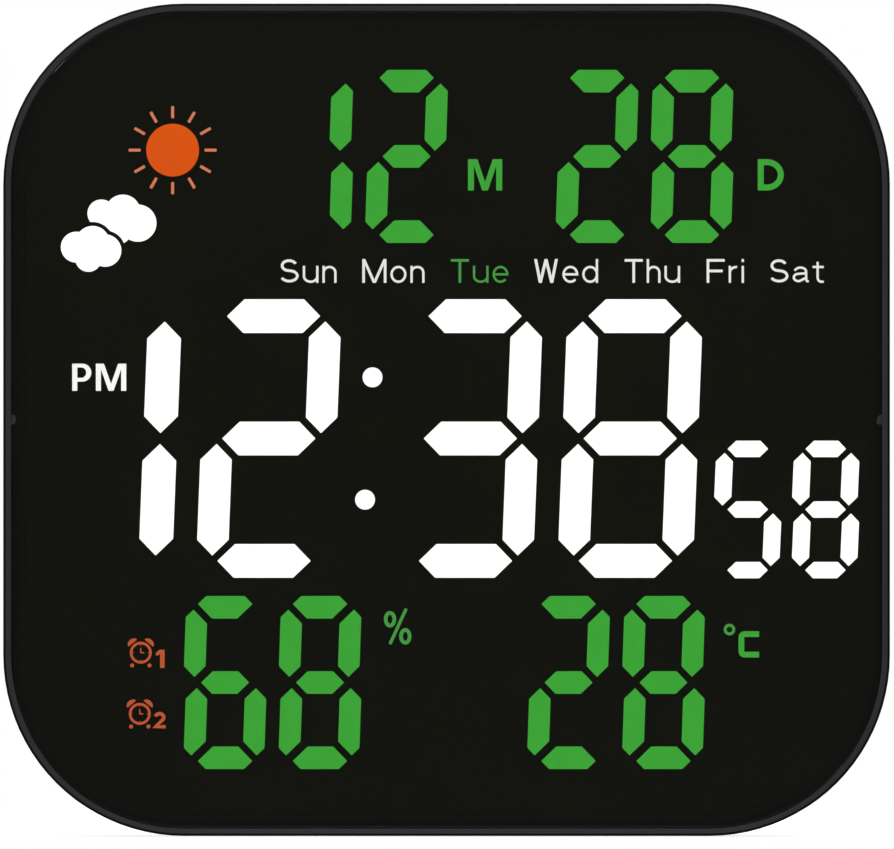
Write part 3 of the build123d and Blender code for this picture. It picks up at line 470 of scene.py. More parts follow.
# %% Brushed metals
BRUSH_WAVES = 260.0
BRUSH_STRETCH = (1.0, 14.0, 14.0)
BRUSH_DEPTH = 0.00001
BRUSH_STRENGTH = 0.25
BRUSH_DRIFT = 0.2
STAIN_SHADES = (0.86, 1.05)

# Colour and roughness
METALS = {
    "can_metal": ((0.72, 0.72, 0.70), 0.28),
    "capacitor_can": ((0.60, 0.61, 0.62), 0.32),
    "socket_steel": ((0.62, 0.62, 0.61), 0.30),
    "cell_steel": ((0.70, 0.70, 0.69), 0.24),
    "contact_brass": ((0.76, 0.60, 0.30), 0.30),
    "pin_steel": ((0.58, 0.58, 0.57), 0.30),
    "screw_steel": ((0.50, 0.50, 0.50), 0.34),
}


def brushed(name, colour, roughness):
    """A metal with fine strokes along x."""
    made, place = start_finish(name)
    along = made.node("ShaderNodeMapping", None, {"Vector": place, "Scale": BRUSH_STRETCH})
    strokes = made.noise(along, BRUSH_WAVES, detail=3.0)
    stain = made.noise(place, GLOSS_WAVES)
    bump = made.node("ShaderNodeBump", None, {
        "Strength": BRUSH_STRENGTH, "Distance": BRUSH_DEPTH, "Height": strokes})
    dark, pale = [shaded(colour, share) for share in STAIN_SHADES]
    end_finish(made, {
        "Base Color": made.mix(stain, dark, pale),
        "Metallic": 1.0,
        "Roughness": roughness + (strokes - 0.5) * BRUSH_DRIFT,
        "Normal": bump})


for name, recipe in METALS.items():
    brushed(name, *recipe)
print(len(METALS), "metals")

# %% [markdown]
# ## The circuit board
# The board is woven laminate under a green mask. Copper tracks show through it as a lighter grid,
# which a brick pattern gives at the right scale.

# %% Laminate with tracks
TRACK_WAVES = 120.0
WEAVE_WAVES = 1600.0
MASK_GLOSS = 0.3
MASK_DRIFT = 0.2

made, place = start_finish("board_laminate")
tracks = made.node("ShaderNodeTexBrick", None, {
    "Vector": place, "Scale": TRACK_WAVES, "Mortar Size": 0.03, "Color1": (0.010, 0.060, 0.030, 1.0),
    "Color2": (0.012, 0.075, 0.036, 1.0), "Mortar": (0.030, 0.140, 0.070, 1.0)})
weave = made.noise(place, WEAVE_WAVES)
end_finish(made, {"Base Color": tracks, "Roughness": MASK_GLOSS + weave * MASK_DRIFT})
print("board laminate")

# %% [markdown]
# ## The smoked lens
# The front panel is tinted acrylic. It hides the film and the dark bars, and lets the lit signs through.
# Real transmission is chosen over transparency by alpha, because the panel then also has a gloss of its
# own on both faces. The finger marks of a used panel are only a faint change of its gloss.

# %% Smoked acrylic
LENS_TINT = (0.34, 0.34, 0.335, 1.0)
LENS_PASSES = 0.31
FINGER_WAVES = 35.0
FINGER_HAZE = 0.016
POLISH = 0.008

made, place = start_finish("smoked_acrylic")
finger_marks = made.noise(place, FINGER_WAVES, detail=5.0)
end_finish(made, {
    "Base Color": LENS_TINT, "Roughness": POLISH + finger_marks * FINGER_HAZE, "IOR": 1.49,
    "Transmission Weight": 1.0})
print("the lens lets", LENS_PASSES, "of the light through")

# %% [markdown]
# ## Light that comes through the signs
# Each bar of a digit is milky resin with a lamp behind it. It glows almost evenly, a little more in some
# places than in others. The colours are chosen as they look in front of the lens. The gloss of the lens
# is taken off them, and the rest is divided by the share that the lens lets through. The sun's rays are
# fed by stray light from its disc, so they are paler than the disc.

# %% Lit resins and lit print
GLOW_WAVES = 160.0
GLOW_DRIFT = 0.05
LENS_GLOSS = 0.009
UNLIT_RESIN = (0.02, 0.02, 0.02, 1.0)
SUN_REACH = 0.0084


def glow(screen_colour):
    """The light behind the lens that gives a colour in front of it."""
    return [max(0.0, part - LENS_GLOSS) / LENS_PASSES for part in linear(*screen_colour)]


def lit(name, screen_colour, boost=1.0, outer=None):
    """A milky surface that shines in a colour. Outer gives a spot, a reach and the colour beyond it."""
    made, place = start_finish(name)
    drift = made.noise(place, GLOW_WAVES)
    light = glow(screen_colour)
    peak = max(light)
    hue = made.mix(drift, shaded(light, (1 - 2 * GLOW_DRIFT) / peak), shaded(light, 1 / peak))
    if outer:
        middle, reach, outer_colour = outer
        beyond = made.maths("GREATER_THAN", made.distance(place, middle), reach)
        hue = made.mix(beyond, hue, shaded(glow(outer_colour), 1 / peak))
    end_finish(made, {
        "Base Color": UNLIT_RESIN, "Roughness": 0.5, "Emission Color": hue,
        "Emission Strength": boost * peak / (1 - GLOW_DRIFT)})


sun_low, sun_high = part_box("sun_icon")
lit("white_sign", (255, 255, 255), boost=1.15)
lit("green_sign", (62, 161, 57))
lit("orange_sign", (213, 84, 25), outer=((sun_low + sun_high) / 2, SUN_REACH, (203, 118, 86)))
lit("white_print", (228, 228, 226))
lit("noon_print", (247, 247, 245))
lit("green_print", (64, 159, 60))
lit("pale_green_print", (70, 147, 68))
lit("orange_print", (181, 85, 55))
print(len(finishes), "finishes in all")

# %% [markdown]
# ## Dress the construction
# Each solid part already names the material it is made of. Its slot takes the finish of that name. Only
# the back cover has a finish of its own, because it is printed with the marks of the battery cap.

# %% Give each part its finish
for part in nodes.values():
    for material_slot in part.material_slots:
        material_slot.material = finishes[material_slot.material.name.split(".")[0]]
nodes["rear_cover"].material_slots[0].material = finishes["cover_with_marks"]
print("dressed", len(nodes), "parts")

# %% [markdown]
# ## The foam behind the lens
# A ring of black foam tape holds the lens. In the construction it touches the lens without a gap, and a
# ray of light can't tell two faces in one plane apart. So the ring is copied, and its front is set back
# by a hair. From the front, the tape then looks as black as the film beside it.

# %% Foam ring
FOAM_GAP = 0.00002

foam_mesh = nodes["lens_adhesive"].data.copy()
foam_low, foam_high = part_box("lens_adhesive")
for corner in foam_mesh.vertices:
    if corner.co.y < (foam_low.y + foam_high.y) / 2:
        corner.co.y += FOAM_GAP
foam = bpy.data.objects.new("foam_ring", foam_mesh)
scene.collection.objects.link(foam)
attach(foam, "case")
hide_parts("lens_adhesive")
print("foam ring set back by", FOAM_GAP / MM, "mm")

# %% [markdown]
# ## A stencil for printed signs
# Words and pictograms are flat ink a few hundredths of a millimetre thick. Blender's own text would bring
# a typeface along, so the letters are drawn with a pen instead: straight strokes, arcs and plain patches,
# in millimetres. The strokes of a letter overlap. A constrained Delaunay triangulation runs them together
# into one clean outline, which is simpler and steadier than boolean solids.

# %% The pen
ARC_STEP = 9.0
SLIVER = 0.00001
SHARPEST_MITRE = 0.5


def heading(turn):
    """A step of one in a direction, in degrees."""
    return Vector((math.cos(math.radians(turn)), math.sin(math.radians(turn))))


def arc(centre, radii, start, end):
    """Points on part of an ellipse, from one angle in degrees to another."""
    steps = max(2, round(abs(end - start) / ARC_STEP))
    ways = [heading(start + (end - start) * step / steps) for step in range(steps + 1)]
    return [(centre[0] + radii[0] * way.x, centre[1] + radii[1] * way.y) for way in ways]


class Stencil:
    """Signs that are printed together. Each sign is a list of outlines that overlap."""

    def __init__(self):
        self.signs = [[]]

    def patch(self, corners):
        """A filled outline. Its corners are kept counter-clockwise, and slivers are left out."""
        corners = [Vector(corner) for corner in corners]
        twice_area = sum(corners[place - 1].cross(corner) for place, corner in enumerate(corners))
        if abs(twice_area) > SLIVER:
            self.signs[-1].append(corners if twice_area > 0 else corners[::-1])

    def bar(self, low, high):
        """An upright rectangle."""
        self.patch([low, (high[0], low[1]), high, (low[0], high[1])])

    def disc(self, centre, radius):
        """A filled circle."""
        self.patch(arc(centre, (radius, radius), 0, 360)[:-1])

    def slant(self, bottom, top, rise, width):
        """A leaning stroke with level ends: the middles of its ends, its height and its level width."""
        half = width / 2
        self.patch([(bottom - half, 0), (bottom + half, 0), (top + half, rise), (top - half, rise)])

    def stroke(self, path, width, closed=False):
        """A stroke along a path, with mitred corners."""
        path = [Vector(point) for point in path]
        last = len(path) - 1
        edges = []
        for place, point in enumerate(path):
            before = path[place - 1] if place or closed else point
            after = path[(place + 1) % len(path)] if place < last or closed else point
            ways = [(b - a).normalized() for a, b in ((before, point), (point, after)) if (b - a).length > 0]
            along = sum(ways, Vector((0, 0))).normalized()
            across = Vector((-along.y, along.x)) * width / 2 / max(SHARPEST_MITRE, along.dot(ways[0]))
            edges.append((point + across, point - across))
        pairs = list(zip(edges, edges[1:]))
        if closed:
            pairs.append((edges[-1], edges[0]))
        for (left, right), (next_left, next_right) in pairs:
            self.patch([right, next_right, next_left])
            self.patch([right, next_left, left])

    def band(self, outer, inner):
        """The space between two paths that have as many points."""
        for place in range(len(outer) - 1):
            self.patch([outer[place], outer[place + 1], inner[place + 1]])
            self.patch([outer[place], inner[place + 1], inner[place]])

    def ring(self, centre, radii, width):
        """A round or oval line."""
        self.stroke(arc(centre, radii, 0, 360)[:-1], width, closed=True)

    def moved(self, x, y):
        """The same shapes somewhere else."""
        other = Stencil()
        shift = Vector((x, y))
        other.signs = [[[corner + shift for corner in outline] for outline in sign] for sign in self.signs]
        return other

    def join(self, other):
        """Print the signs of another stencil along with these."""
        self.signs += other.signs


print("a pen with arcs of", ARC_STEP, "degrees a step")

# %% Ink it
JOIN_TOLERANCE = 0.0005
FILLED = 1


def ink_sign(shape, sign, base, thickness, side):
    """Add one sign to a mesh in the making: a printed face, its back and the edge between them."""
    corners = [corner for outline in sign for corner in outline]
    counts = [len(outline) for outline in sign]
    outlines = [list(range(sum(counts[:place]), sum(counts[:place + 1]))) for place in range(len(counts))]
    points, _, faces, _, _, sources = delaunay_2d_cdt(corners, [], outlines, FILLED, JOIN_TOLERANCE)
    kept = [face for face, source in zip(faces, sources) if source]
    used = sorted({corner for face in kept for corner in face})
    flat = {corner: (-side * points[corner].x * MM, points[corner].y * MM) for corner in used}
    front, back = [{corner: shape.verts.new((x, level, z)) for corner, (x, z) in flat.items()}
                   for level in (base + side * thickness, base)]
    borders = set()
    for face in kept:
        shape.faces.new([front[corner] for corner in face])
        shape.faces.new([back[corner] for corner in reversed(face)])
        for start, end in zip(face, face[1:] + face[:1]):
            if (end, start) in borders:
                borders.remove((end, start))
            else:
                borders.add((start, end))
    for start, end in sorted(borders):
        shape.faces.new([front[end], front[start], back[start], back[end]])


def ink(name, stencil, base, thickness, side):
    """Print a stencil on a wall at y = base, on the face or on the back, where x is mirrored."""
    shape = bmesh.new()
    for sign in stencil.signs:
        if sign:
            ink_sign(shape, sign, base, thickness, side)
    mesh = bpy.data.meshes.new(name)
    shape.to_mesh(mesh)
    shape.free()
    piece = bpy.data.objects.new(name, mesh)
    scene.collection.objects.link(piece)
    return piece


print("outlines are joined within", JOIN_TOLERANCE, "mm")

# %% Settle it
FACE = -1
BACK = 1
FILM_INK = 0.00008
PAD_INK = 0.00004

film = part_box("display_mask")[0].y


def settle(piece, finish, body):
    """Give a new piece its finish and let it ride on a body of the clock."""
    if finish:
        piece.data.materials.clear()
        piece.data.materials.append(finishes[finish])
    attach(piece, body)
    print(piece.name, "on", body, len(piece.data.polygons), "faces")


def print_on_film(name, stencil, finish):
    """Print a stencil on the front of the film, behind the lens."""
    settle(ink(name, stencil, film, FILM_INK, FACE), finish, "case")


def print_on_back(name, stencil, wall, body):
    """Print a stencil on a wall in the back of the clock, with pale ink from a soft pad."""
    settle(ink(name, stencil, wall, PAD_INK, BACK), "key_ink", body)


print("film at", round(film / MM, 2), "mm")

# %% [markdown]
# ## The words of the week
# The days stand in a row between the date and the time, in a plain light letter of one stroke width.
# Each letter is a few strokes of the pen. A capital is as high as the ascenders, but its stroke is a
# little wider, and the round small letters share one bowl.

# %% Thin letters
CAPITAL = 6.85
SMALL = 4.9
CAPITAL_PEN = 0.76
SMALL_PEN = 0.66
LETTER_GAP = 1.15
LETTER_WIDTHS = {"S": 5.45, "M": 6.95, "T": 5.2, "W": 7.15, "F": 5.2,
                 "a": 4.6, "d": 4.55, "e": 4.55, "h": 3.95, "i": 1.0,
                 "n": 4.05, "o": 4.6, "r": 2.4, "t": 3.2, "u": 4.5}
W_SHARES = ((0.27, 0.08), (0.27, 0.5), (0.73, 0.5), (0.73, 0.92))
F_ARM = (4.6, 3.05)
# An arc is its middle, its radii and its first and last angle
S_UPPER = ((2.65, 4.95), (2.0, 1.45), 22, 250)
S_LOWER = ((2.72, 2.0), (2.3, 1.5), 70, -158)
A_CROWN = ((2.25, 3.15), (1.65, 1.25), 165, 0)
A_TAIL = ((3.9, 0.95), (4.1, 0.6))
A_SHELF = ((3.9, 2.75), (2.2, 2.65))
A_BOWL = ((1.75, 1.55), (1.4, 1.05), 95, 280)
A_JOIN = (3.9, 1.5)
ARCH = 1.6
E_END = 318
I_DOT = 1.3
R_MIDDLE = 2.3
T_STEM = (1.45, 6.05)
T_HOOK = 1.05
print(len(LETTER_WIDTHS), "letters to draw")


def thin_capital(letter):
    """A capital of the week, with its left edge at 0 and its foot on 0."""
    made = Stencil()
    width = LETTER_WIDTHS[letter]
    pen = CAPITAL_PEN
    half = pen / 2
    middle = width / 2
    if letter == "S":
        made.stroke(arc(*S_UPPER) + arc(*S_LOWER), pen)
    elif letter in "MW":
        lean = pen / math.cos(math.atan2(middle - half, CAPITAL))
        if letter == "M":
            made.bar((0, 0), (pen, CAPITAL))
            made.bar((width - pen, 0), (width, CAPITAL))
            for top in (lean / 2, width - lean / 2):
                made.slant(middle, top, CAPITAL, lean)
        else:
            for foot, top in W_SHARES:
                made.slant(foot * width, top * width, CAPITAL, lean)
    else:
        stem = middle if letter == "T" else half
        made.bar((stem - half, 0), (stem + half, CAPITAL))
        made.bar((0, CAPITAL - pen), (width, CAPITAL))
        if letter == "F":
            made.bar((0, F_ARM[1]), (F_ARM[0], F_ARM[1] + pen))
    return made


def thin_small(letter):
    """A small letter of the week, with its left edge at 0 and its foot on 0."""
    made = Stencil()
    width = LETTER_WIDTHS[letter]
    pen = SMALL_PEN
    half = pen / 2
    right = width - half
    middle = width / 2
    bowl = (middle, SMALL / 2)
    bowl_radii = (middle - half, SMALL / 2 - half)
    if letter in "nhr":
        made.bar((0, 0), (pen, CAPITAL if letter == "h" else SMALL))
        spring = SMALL - half - ARCH
        if letter == "r":
            shoulder = arc((R_MIDDLE, spring), (R_MIDDLE - half, ARCH), 180, 90)
            made.stroke(shoulder + [(width, SMALL - half)], pen)
        else:
            made.stroke(arc((middle, spring), (middle - half, ARCH), 180, 0) + [(right, 0)], pen)
    elif letter == "u":
        made.bar((width - pen, 0), (width, SMALL))
        made.stroke([(half, SMALL)] + arc((middle, half + ARCH), (middle - half, ARCH), 180, 360), pen)
    elif letter == "e":
        made.stroke([(half, bowl[1])] + arc(bowl, bowl_radii, 0, E_END), pen)
    elif letter in "od":
        made.ring(bowl, bowl_radii, pen)
        if letter == "d":
            made.bar((width - pen, 0), (width, CAPITAL))
    elif letter == "a":
        made.stroke([*arc(*A_CROWN), *A_TAIL, (width, half)], pen)
        made.stroke([*A_SHELF, *arc(*A_BOWL), A_JOIN], pen)
    elif letter == "i":
        made.bar((middle - half, 0), (middle + half, SMALL))
        made.bar((middle - half, CAPITAL - I_DOT * pen), (middle + half, CAPITAL))
    elif letter == "t":
        hook = arc((T_STEM[0] + T_HOOK, ARCH), (T_HOOK, ARCH - half), 180, 270)
        made.stroke([T_STEM] + hook + [(width, half)], pen)
        made.bar((0, SMALL - pen), (width, SMALL))
    return made


# %% Set the week
# The distance of each word's middle from the right side of the clock
WEEK = {"Sun": 167.3, "Mon": 142.8, "Tue": 118.0, "Wed": 93.2, "Thu": 68.3, "Fri": 47.25, "Sat": 26.8}
TODAY = "Tue"
WEEK_LIFT = 4.72


def word(letters):
    """A word of thin letters, and its width."""
    made = Stencil()
    edge = 0.0
    for letter in letters:
        drawn = thin_capital(letter) if letter.isupper() else thin_small(letter)
        made.join(drawn.moved(edge, 0))
        edge += LETTER_WIDTHS[letter] + LETTER_GAP
    return made, edge - LETTER_GAP


week_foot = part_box("time_segments")[1].z / MM + WEEK_LIFT
week = Stencil()
for day, from_right in WEEK.items():
    letters, wide = word(day)
    placed = letters.moved(cad_high.x / MM - from_right - wide / 2, week_foot)
    if day == TODAY:
        print_on_film("today_legend", placed, "pale_green_print")
    else:
        week.join(placed)
print_on_film("weekday_legends", week, "white_print")

# %% [markdown]
# ## Bold signs
# The signs for the half of the day, the month and the day of the month are bold capitals. Their strokes
# are about a fifth of their height. The leaning strokes of the M end level, at its head and its foot, so
# plain slanted patches suit it better than a mitred path.

# %% Bold capitals
# Shares of a letter's width or height, or of its stem
M_LEVEL = 0.97
M_SHOULDER = 0.61
P_FOOT = 0.34
P_PEN = 0.74
P_SWELL = 0.53
P_INNER_SWELL = 0.9
D_SWELL = 0.36
print("the bowl of P ends", P_FOOT, "of its height above the foot")


def bold_m(width, rise, stem):
    """Two stems, and two slants that meet at the foot."""
    made = Stencil()
    made.bar((0, 0), (stem, rise))
    made.bar((width - stem, 0), (width, rise))
    level = M_LEVEL * stem
    shoulder = M_SHOULDER * stem + level / 2
    for top in (shoulder, width - shoulder):
        made.slant(width / 2, top, rise, level)
    return made


def bold_p(width, rise, stem):
    """A stem and a bowl, which is thinner where it runs level."""
    made = Stencil()
    made.bar((0, 0), (stem, rise))
    foot = P_FOOT * rise
    pen = P_PEN * stem
    middle = (rise + foot) / 2
    half = (rise - foot) / 2
    swell = P_SWELL * width
    inner_swell = P_INNER_SWELL * swell
    outer = arc((swell, middle), (width - swell, half), 90, -90)
    inner = arc((inner_swell, middle), (width - stem - inner_swell, half - pen), 90, -90)
    made.band([(0, rise)] + outer + [(0, foot)], [(0, rise - pen)] + inner + [(0, foot + pen)])
    return made


def bold_d(width, rise, stem):
    """A stem and a round stroke as wide as the stem."""
    made = Stencil()
    made.bar((0, 0), (stem, rise))
    swell = D_SWELL * width
    round_part = arc((swell, rise / 2), (width - swell - stem / 2, (rise - stem) / 2), 90, -90)
    made.stroke([(stem / 2, rise - stem / 2)] + round_part + [(stem / 2, stem / 2)], stem)
    return made


# %% Half of the day, month and day
NOON_RISE = 7.8
NOON_STEM = 1.46
NOON_WIDTHS = (5.5, 8.73)
NOON_STEP = 6.81
NOON_SPOT = (-107.68, 8.33)
DATE_RISE = 9.0
DATE_STEM = 1.72
DATE_FOOT = 65.95
MONTH_WIDTH = 9.85
MONTH_LEFT = 6.15
DAY_WIDTH = 7.5
DAY_LEFT = 89.5

noon = bold_p(NOON_WIDTHS[0], NOON_RISE, NOON_STEM)
noon.join(bold_m(NOON_WIDTHS[1], NOON_RISE, NOON_STEM).moved(NOON_STEP, 0))
print_on_film("noon_legend", noon.moved(*NOON_SPOT), "noon_print")
date_signs = bold_m(MONTH_WIDTH, DATE_RISE, DATE_STEM).moved(MONTH_LEFT, DATE_FOOT)
date_signs.join(bold_d(DAY_WIDTH, DATE_RISE, DATE_STEM).moved(DAY_LEFT, DATE_FOOT))
print_on_film("date_legends", date_signs, "green_print")

# %% [markdown]
# ## Signs for the room's air
# The per cent sign is two oval rings and a slanted stroke. The degree sign is a small ring beside a
# squared letter with round outer corners.

# %% Air signs
PERCENT_PEN = 1.08
PERCENT_RADII = (1.24, 1.83)
PERCENT_RINGS = ((-16.27, -57.38), (-11.87, -62.29))
PERCENT_SLASH = ((-16.3, -64.55), (-11.6, -54.3))
SLASH_PEN = 0.91
DEGREE_PEN = 0.86
DEGREE_RADII = (1.24, 1.24)
DEGREE_SPOT = (81.36, -60.34)
SQUARE_PEN = 1.65
SQUARE_CORNER = (0.9, 0.9)
SQUARE_SIDES = (84.8, 89.9)
SQUARE_ENDS = (-67.55, -61.65)

air_signs = Stencil()
for spot in PERCENT_RINGS:
    air_signs.ring(spot, PERCENT_RADII, PERCENT_PEN)
air_signs.stroke(PERCENT_SLASH, SLASH_PEN)
degree = Stencil()
degree.ring(DEGREE_SPOT, DEGREE_RADII, DEGREE_PEN)
air_signs.join(degree)
print_on_film("air_legends", air_signs, "pale_green_print")

left, right = SQUARE_SIDES
foot, top = SQUARE_ENDS
round_x, round_y = SQUARE_CORNER
lower_corner = arc((left + round_x, foot + round_y), SQUARE_CORNER, 180, 270)
upper_corner = arc((left + round_x, top - round_y), SQUARE_CORNER, 90, 180)
celsius = Stencil()
celsius.stroke([(right, top)] + upper_corner + lower_corner + [(right, foot)], SQUARE_PEN)
print_on_film("celsius_legend", celsius, "green_print")

# %% [markdown]
# ## Copies made by a tree
# The two alarm signs, the ribs of the leg and the ticks of the cap are copies of one shape. A small
# Geometry Nodes tree places them: the shape comes in, a line of points carries it, and the copies are
# made real. A second tree does the same round a circle. Both end in the material.

# %% Trees for rows and rings
def open_tree(name, sockets):
    """A new shape-making tree with named inputs."""
    tree = bpy.data.node_groups.new(name, "GeometryNodeTree")
    tree.interface.new_socket("Shape", in_out="INPUT", socket_type="NodeSocketGeometry")
    for socket, kind in sockets.items():
        tree.interface.new_socket(socket, in_out="INPUT", socket_type=kind)
    tree.interface.new_socket("Finish", in_out="INPUT", socket_type="NodeSocketMaterial")
    tree.interface.new_socket("Copies", in_out="OUTPUT", socket_type="NodeSocketGeometry")
    made = Bench(tree)
    return made, made.node("NodeGroupInput", out="Shape")


def close_tree(made, copies, given):
    """Make the copies real and give them their finish."""
    real = made.node("GeometryNodeRealizeInstances", None, {"Geometry": copies})
    finish = given.other("Finish")
    painted = made.node("GeometryNodeSetMaterial", None, {"Geometry": real, "Material": finish})
    made.node("NodeGroupOutput", None, {"Copies": painted})
    return made.tree


made, given = open_tree("row_of_copies", {
    "Count": "NodeSocketInt", "Start": "NodeSocketVector", "Step": "NodeSocketVector"})
points = made.node("GeometryNodeMeshLine", None, {
    "Count": given.other("Count"), "Start Location": given.other("Start"), "Offset": given.other("Step")})
copies = made.node("GeometryNodeInstanceOnPoints", None, {"Points": points, "Instance": given})
row_tree = close_tree(made, copies, given)

made, given = open_tree("ring_of_copies", {
    "Count": "NodeSocketInt", "Radius": "NodeSocketFloat", "Middle": "NodeSocketVector"})
points = made.node("GeometryNodeMeshCircle", None, {
    "Vertices": given.other("Count"), "Radius": given.other("Radius")})
turn = made.node("GeometryNodeInputIndex") * (2 * math.pi)
share = made.maths("DIVIDE", turn, given.other("Count"))
facing = made.node("ShaderNodeCombineXYZ", None, {"Z": share})
copies = made.node("GeometryNodeInstanceOnPoints", None, {
    "Points": points, "Instance": given, "Rotation": facing})
upright = made.node("GeometryNodeTransform", None, {
    "Geometry": copies, "Translation": given.other("Middle"), "Rotation": (math.radians(90), 0.0, 0.0)})
ring_tree = close_tree(made, upright, given)
print("trees", row_tree.name, "and", ring_tree.name)


# %% Run a tree
def grow(piece, tree, values):
    """Run a tree on a piece and keep the outcome as its plain mesh."""
    modifier = piece.modifiers.new("copies", "NODES")
    modifier.node_group = tree
    for socket in tree.interface.items_tree:
        if socket.name in values:
            modifier[socket.identifier] = values[socket.name]
    piece.update_tag()
    result = piece.evaluated_get(bpy.context.evaluated_depsgraph_get())
    plain = bpy.data.meshes.new_from_object(result)
    piece.modifiers.remove(modifier)
    plain.name = piece.name
    piece.data = plain
    return piece


# %% [markdown]
# ## The alarm signs
# Each alarm has the same pictogram, a round clock with two bells, two feet, two hands and four ticks. It
# is drawn once and set twice by the row tree. Only the numbers beside the signs differ.

# %% Alarm pictograms
ALARM_SPOT = (-87.95, -67.0)
ALARM_STEP = (-0.3, -17.58)
ALARM_RADII = (2.78, 2.78)
ALARM_PEN = 0.74
BELL_TURNS = (130, 50)
BELL_FOOT = 3.6
BELL_RISE = 1.2
BELL_HALF = 1.6
FOOT_SPOTS = ((-2.5, -3.65), (2.5, -3.65))
FOOT_RADIUS = 0.58
HANDS = ((0, 1.35), (0, 0), (1.0, 0))
HAND_PEN = 0.34
TICK_SPAN = (2.0, 2.5)
TICK_PEN = 0.22

alarm = Stencil()
alarm.ring((0, 0), ALARM_RADII, ALARM_PEN)
for turn in BELL_TURNS:
    outward = heading(turn)
    across = heading(turn + 90)
    alarm.patch([outward * (BELL_FOOT + BELL_RISE * rise) + across * (BELL_HALF * along)
                 for along, rise in arc((0, 0), (1, 1), 0, 180)])
for spot in FOOT_SPOTS:
    alarm.disc(spot, FOOT_RADIUS)
alarm.stroke(HANDS, HAND_PEN)
for turn in range(0, 360, 90):
    alarm.stroke([heading(turn) * reach for reach in TICK_SPAN], TICK_PEN)
pictogram = ink("alarm_signs", alarm, 0.0, FILM_INK, FACE)
grow(pictogram, row_tree, {
    "Count": 2, "Start": (ALARM_SPOT[0] * MM, film, ALARM_SPOT[1] * MM),
    "Step": (ALARM_STEP[0] * MM, 0.0, ALARM_STEP[1] * MM), "Finish": finishes["orange_print"]})
settle(pictogram, None, "case")

# %% Alarm numbers
FIRST_STEM = ((5.55, -4.4), (6.85, 0.85))
FIRST_FLAG = ((4.4, -0.95), (5.55, -0.4), (5.55, 0.85), (5.35, 0.85), (4.4, 0.05))
SECOND_HOOK = ((5.7, -1.05), (1.2, 1.1), 165, -30)
SECOND_FOOT = ((4.55, -3.7), (7.45, -3.7))
SECOND_PEN = 1.02

first = Stencil()
first.bar(*FIRST_STEM)
first.patch(FIRST_FLAG)
second = Stencil()
second.stroke([*arc(*SECOND_HOOK), *SECOND_FOOT], SECOND_PEN)
first.join(second.moved(*ALARM_STEP))
print_on_film("alarm_numbers", first.moved(*ALARM_SPOT), "orange_print")

# %% [markdown]
# ## Marks on the keys
# The five keys in the back carry pale pad-printed pictograms: a list, two arrows, a bell and a lamp's
# rays. They ride on their own keys, so that they go in with a press.

# %% Key pictograms
KEY_PEN = 0.42
LIST_ROWS = (-0.95, 0.0, 0.95)
LIST_HALF = 1.3
ARROW = ((-1.4, -0.95), (1.4, -0.95), (0, 1.25))
BELL_BRIM = ((-1.35, -0.85), (1.35, -0.85))
BELL_DOME = ((0, 0.2), (0.95, 1.15), 0, 180)
CLAPPER = ((0, -1.2), 0.36)
LAMP_RADIUS = 0.62
LAMP_RAYS = 8
LAMP_RAY_SPAN = (1.0, 1.55)
LAMP_RAY_PEN = 0.32


def key_sign(key):
    """The pictogram of one key, about the key's middle, as it is seen from behind."""
    made = Stencil()
    if key == "mode":
        for rise in LIST_ROWS:
            made.stroke([(-LIST_HALF, rise), (LIST_HALF, rise)], KEY_PEN)
    elif key in ("up", "down"):
        made.patch([(x, y if key == "up" else -y) for x, y in ARROW])
    elif key == "alarm":
        made.patch([*BELL_BRIM, *arc(*BELL_DOME)])
        made.disc(*CLAPPER)
    else:
        made.disc((0, 0), LAMP_RADIUS)
        for ray in range(LAMP_RAYS):
            way = heading(ray * 360 / LAMP_RAYS)
            made.stroke([way * reach for reach in LAMP_RAY_SPAN], LAMP_RAY_PEN)
    return made


for key in ("mode", "up", "down", "alarm", "light"):
    low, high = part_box(f"{key}_key")
    middle = (low + high) / 2 / MM
    placed = key_sign(key).moved(-middle.x, middle.z)
    print_on_back(f"{key}_key_sign", placed, high.y, f"{key}_key")

# %% [markdown]
# ## Marks of the battery cap
# A pointer and a plus sign are printed on the cap. The pointer turns from the dot on the cover, which
# stands for closed, to the ring, which stands for open. A crown of small ticks gives a finger some hold.

# %% Cap signs
POINTER = ((-0.95, 6.1), (0.95, 6.1), (0, 7.9))
PLUS_RISE = 3.6
PLUS_HALF = 1.1
PLUS_PEN = 0.5

cap_low, cap_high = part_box("battery_cap")
cap_middle = (cap_low + cap_high) / 2 / MM
cap_signs = Stencil()
cap_signs.patch(POINTER)
cap_signs.stroke([(-PLUS_HALF, PLUS_RISE), (PLUS_HALF, PLUS_RISE)], PLUS_PEN)
cap_signs.stroke([(0, PLUS_RISE - PLUS_HALF), (0, PLUS_RISE + PLUS_HALF)], PLUS_PEN)
print_on_back("cap_signs", cap_signs.moved(-cap_middle.x, cap_middle.z), cap_high.y,
              "battery_cap")

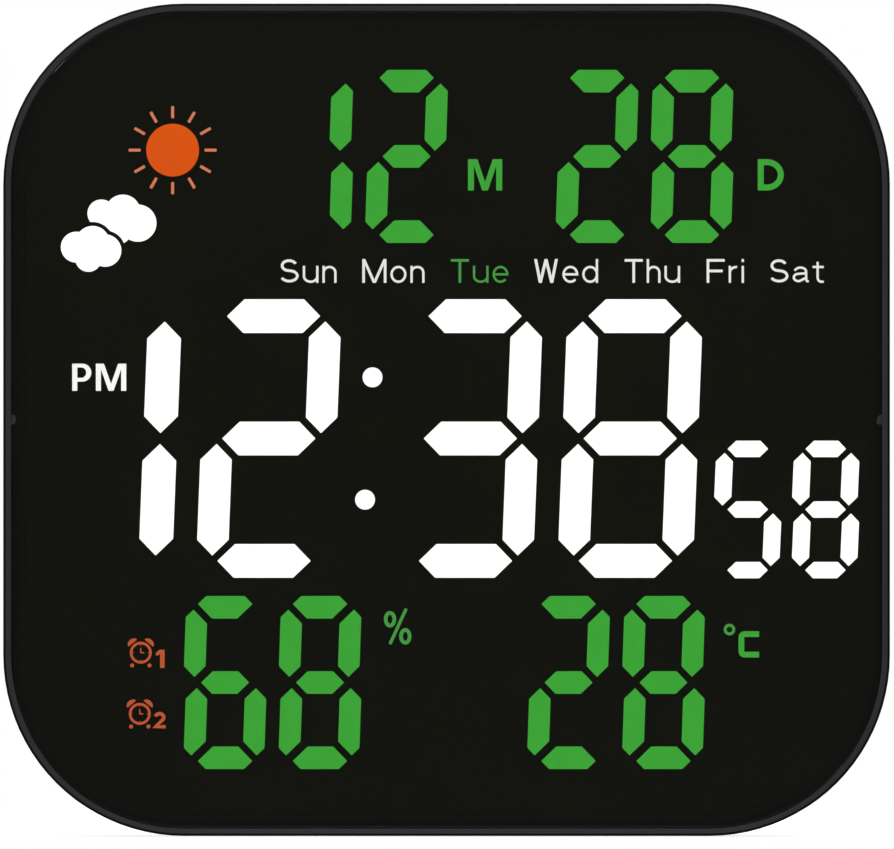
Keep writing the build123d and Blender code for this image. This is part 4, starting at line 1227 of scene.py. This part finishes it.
# %% Cap ticks
CAP_TICKS = 30
CAP_TICK_RADIUS = 10.3
CAP_TICK = (2.2, 0.9, 0.66)
PILL_SIDES = 12


def pill(name, size):
    """A small round-ended bar along x, in millimetres, with its middle at the origin."""
    shape = bmesh.new()
    bmesh.ops.create_uvsphere(shape, u_segments=PILL_SIDES, v_segments=PILL_SIDES, radius=0.5)
    stretch = size[0] / size[1] - 1
    for corner in shape.verts:
        corner.co.x += math.copysign(stretch / 2, corner.co.x)
        corner.co = Vector((corner.co.x * size[1], corner.co.y * size[1], corner.co.z * size[2])) * MM
    mesh = bpy.data.meshes.new(name)
    shape.to_mesh(mesh)
    shape.free()
    mesh.shade_smooth()
    piece = bpy.data.objects.new(name, mesh)
    scene.collection.objects.link(piece)
    return piece


ticks = grow(pill("cap_ticks", CAP_TICK), ring_tree, {
    "Count": CAP_TICKS, "Radius": CAP_TICK_RADIUS * MM, "Finish": finishes["cover_plastic"],
    "Middle": (cap_middle.x * MM, cap_high.y, cap_middle.z * MM)})
settle(ticks, None, "battery_cap")

# %% [markdown]
# ## Ribs on the leg
# A thumb pulls the leg out at its foot, where moulded ribs keep it from slipping. They are half sunk in
# the leg and stay below the back of the cover, so that the clock still hangs flat on a wall.

# %% Leg ribs
RIB_COUNT = 5
RIB_PITCH = 2.7
RIB = (30.0, 1.5, 0.5)
RIB_START = 5.5

leg_low, leg_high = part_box("desk_leg")
rib = pill("leg_ribs", RIB)
rib.data.transform(Matrix.Rotation(math.radians(90), 4, "X"))
grow(rib, row_tree, {
    "Count": RIB_COUNT, "Start": (0.0, leg_high.y, leg_low.z + RIB_START * MM),
    "Step": (0.0, 0.0, RIB_PITCH * MM), "Finish": finishes["cover_plastic"]})
settle(rib, None, "desk_leg")

# %% [markdown]
# ## The last look
# The finished clock must be as large as its construction, because all that was added lies inside it. The
# largest gap between the construction's box and the finished clock's box is printed.

# %% Compare the sizes and finish
visual_low, visual_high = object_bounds()
changes = [abs(seen - built) for seen, built in zip([*visual_low, *visual_high], [*cad_low, *cad_high])]
print("grown by", max(changes) / MM, "mm")
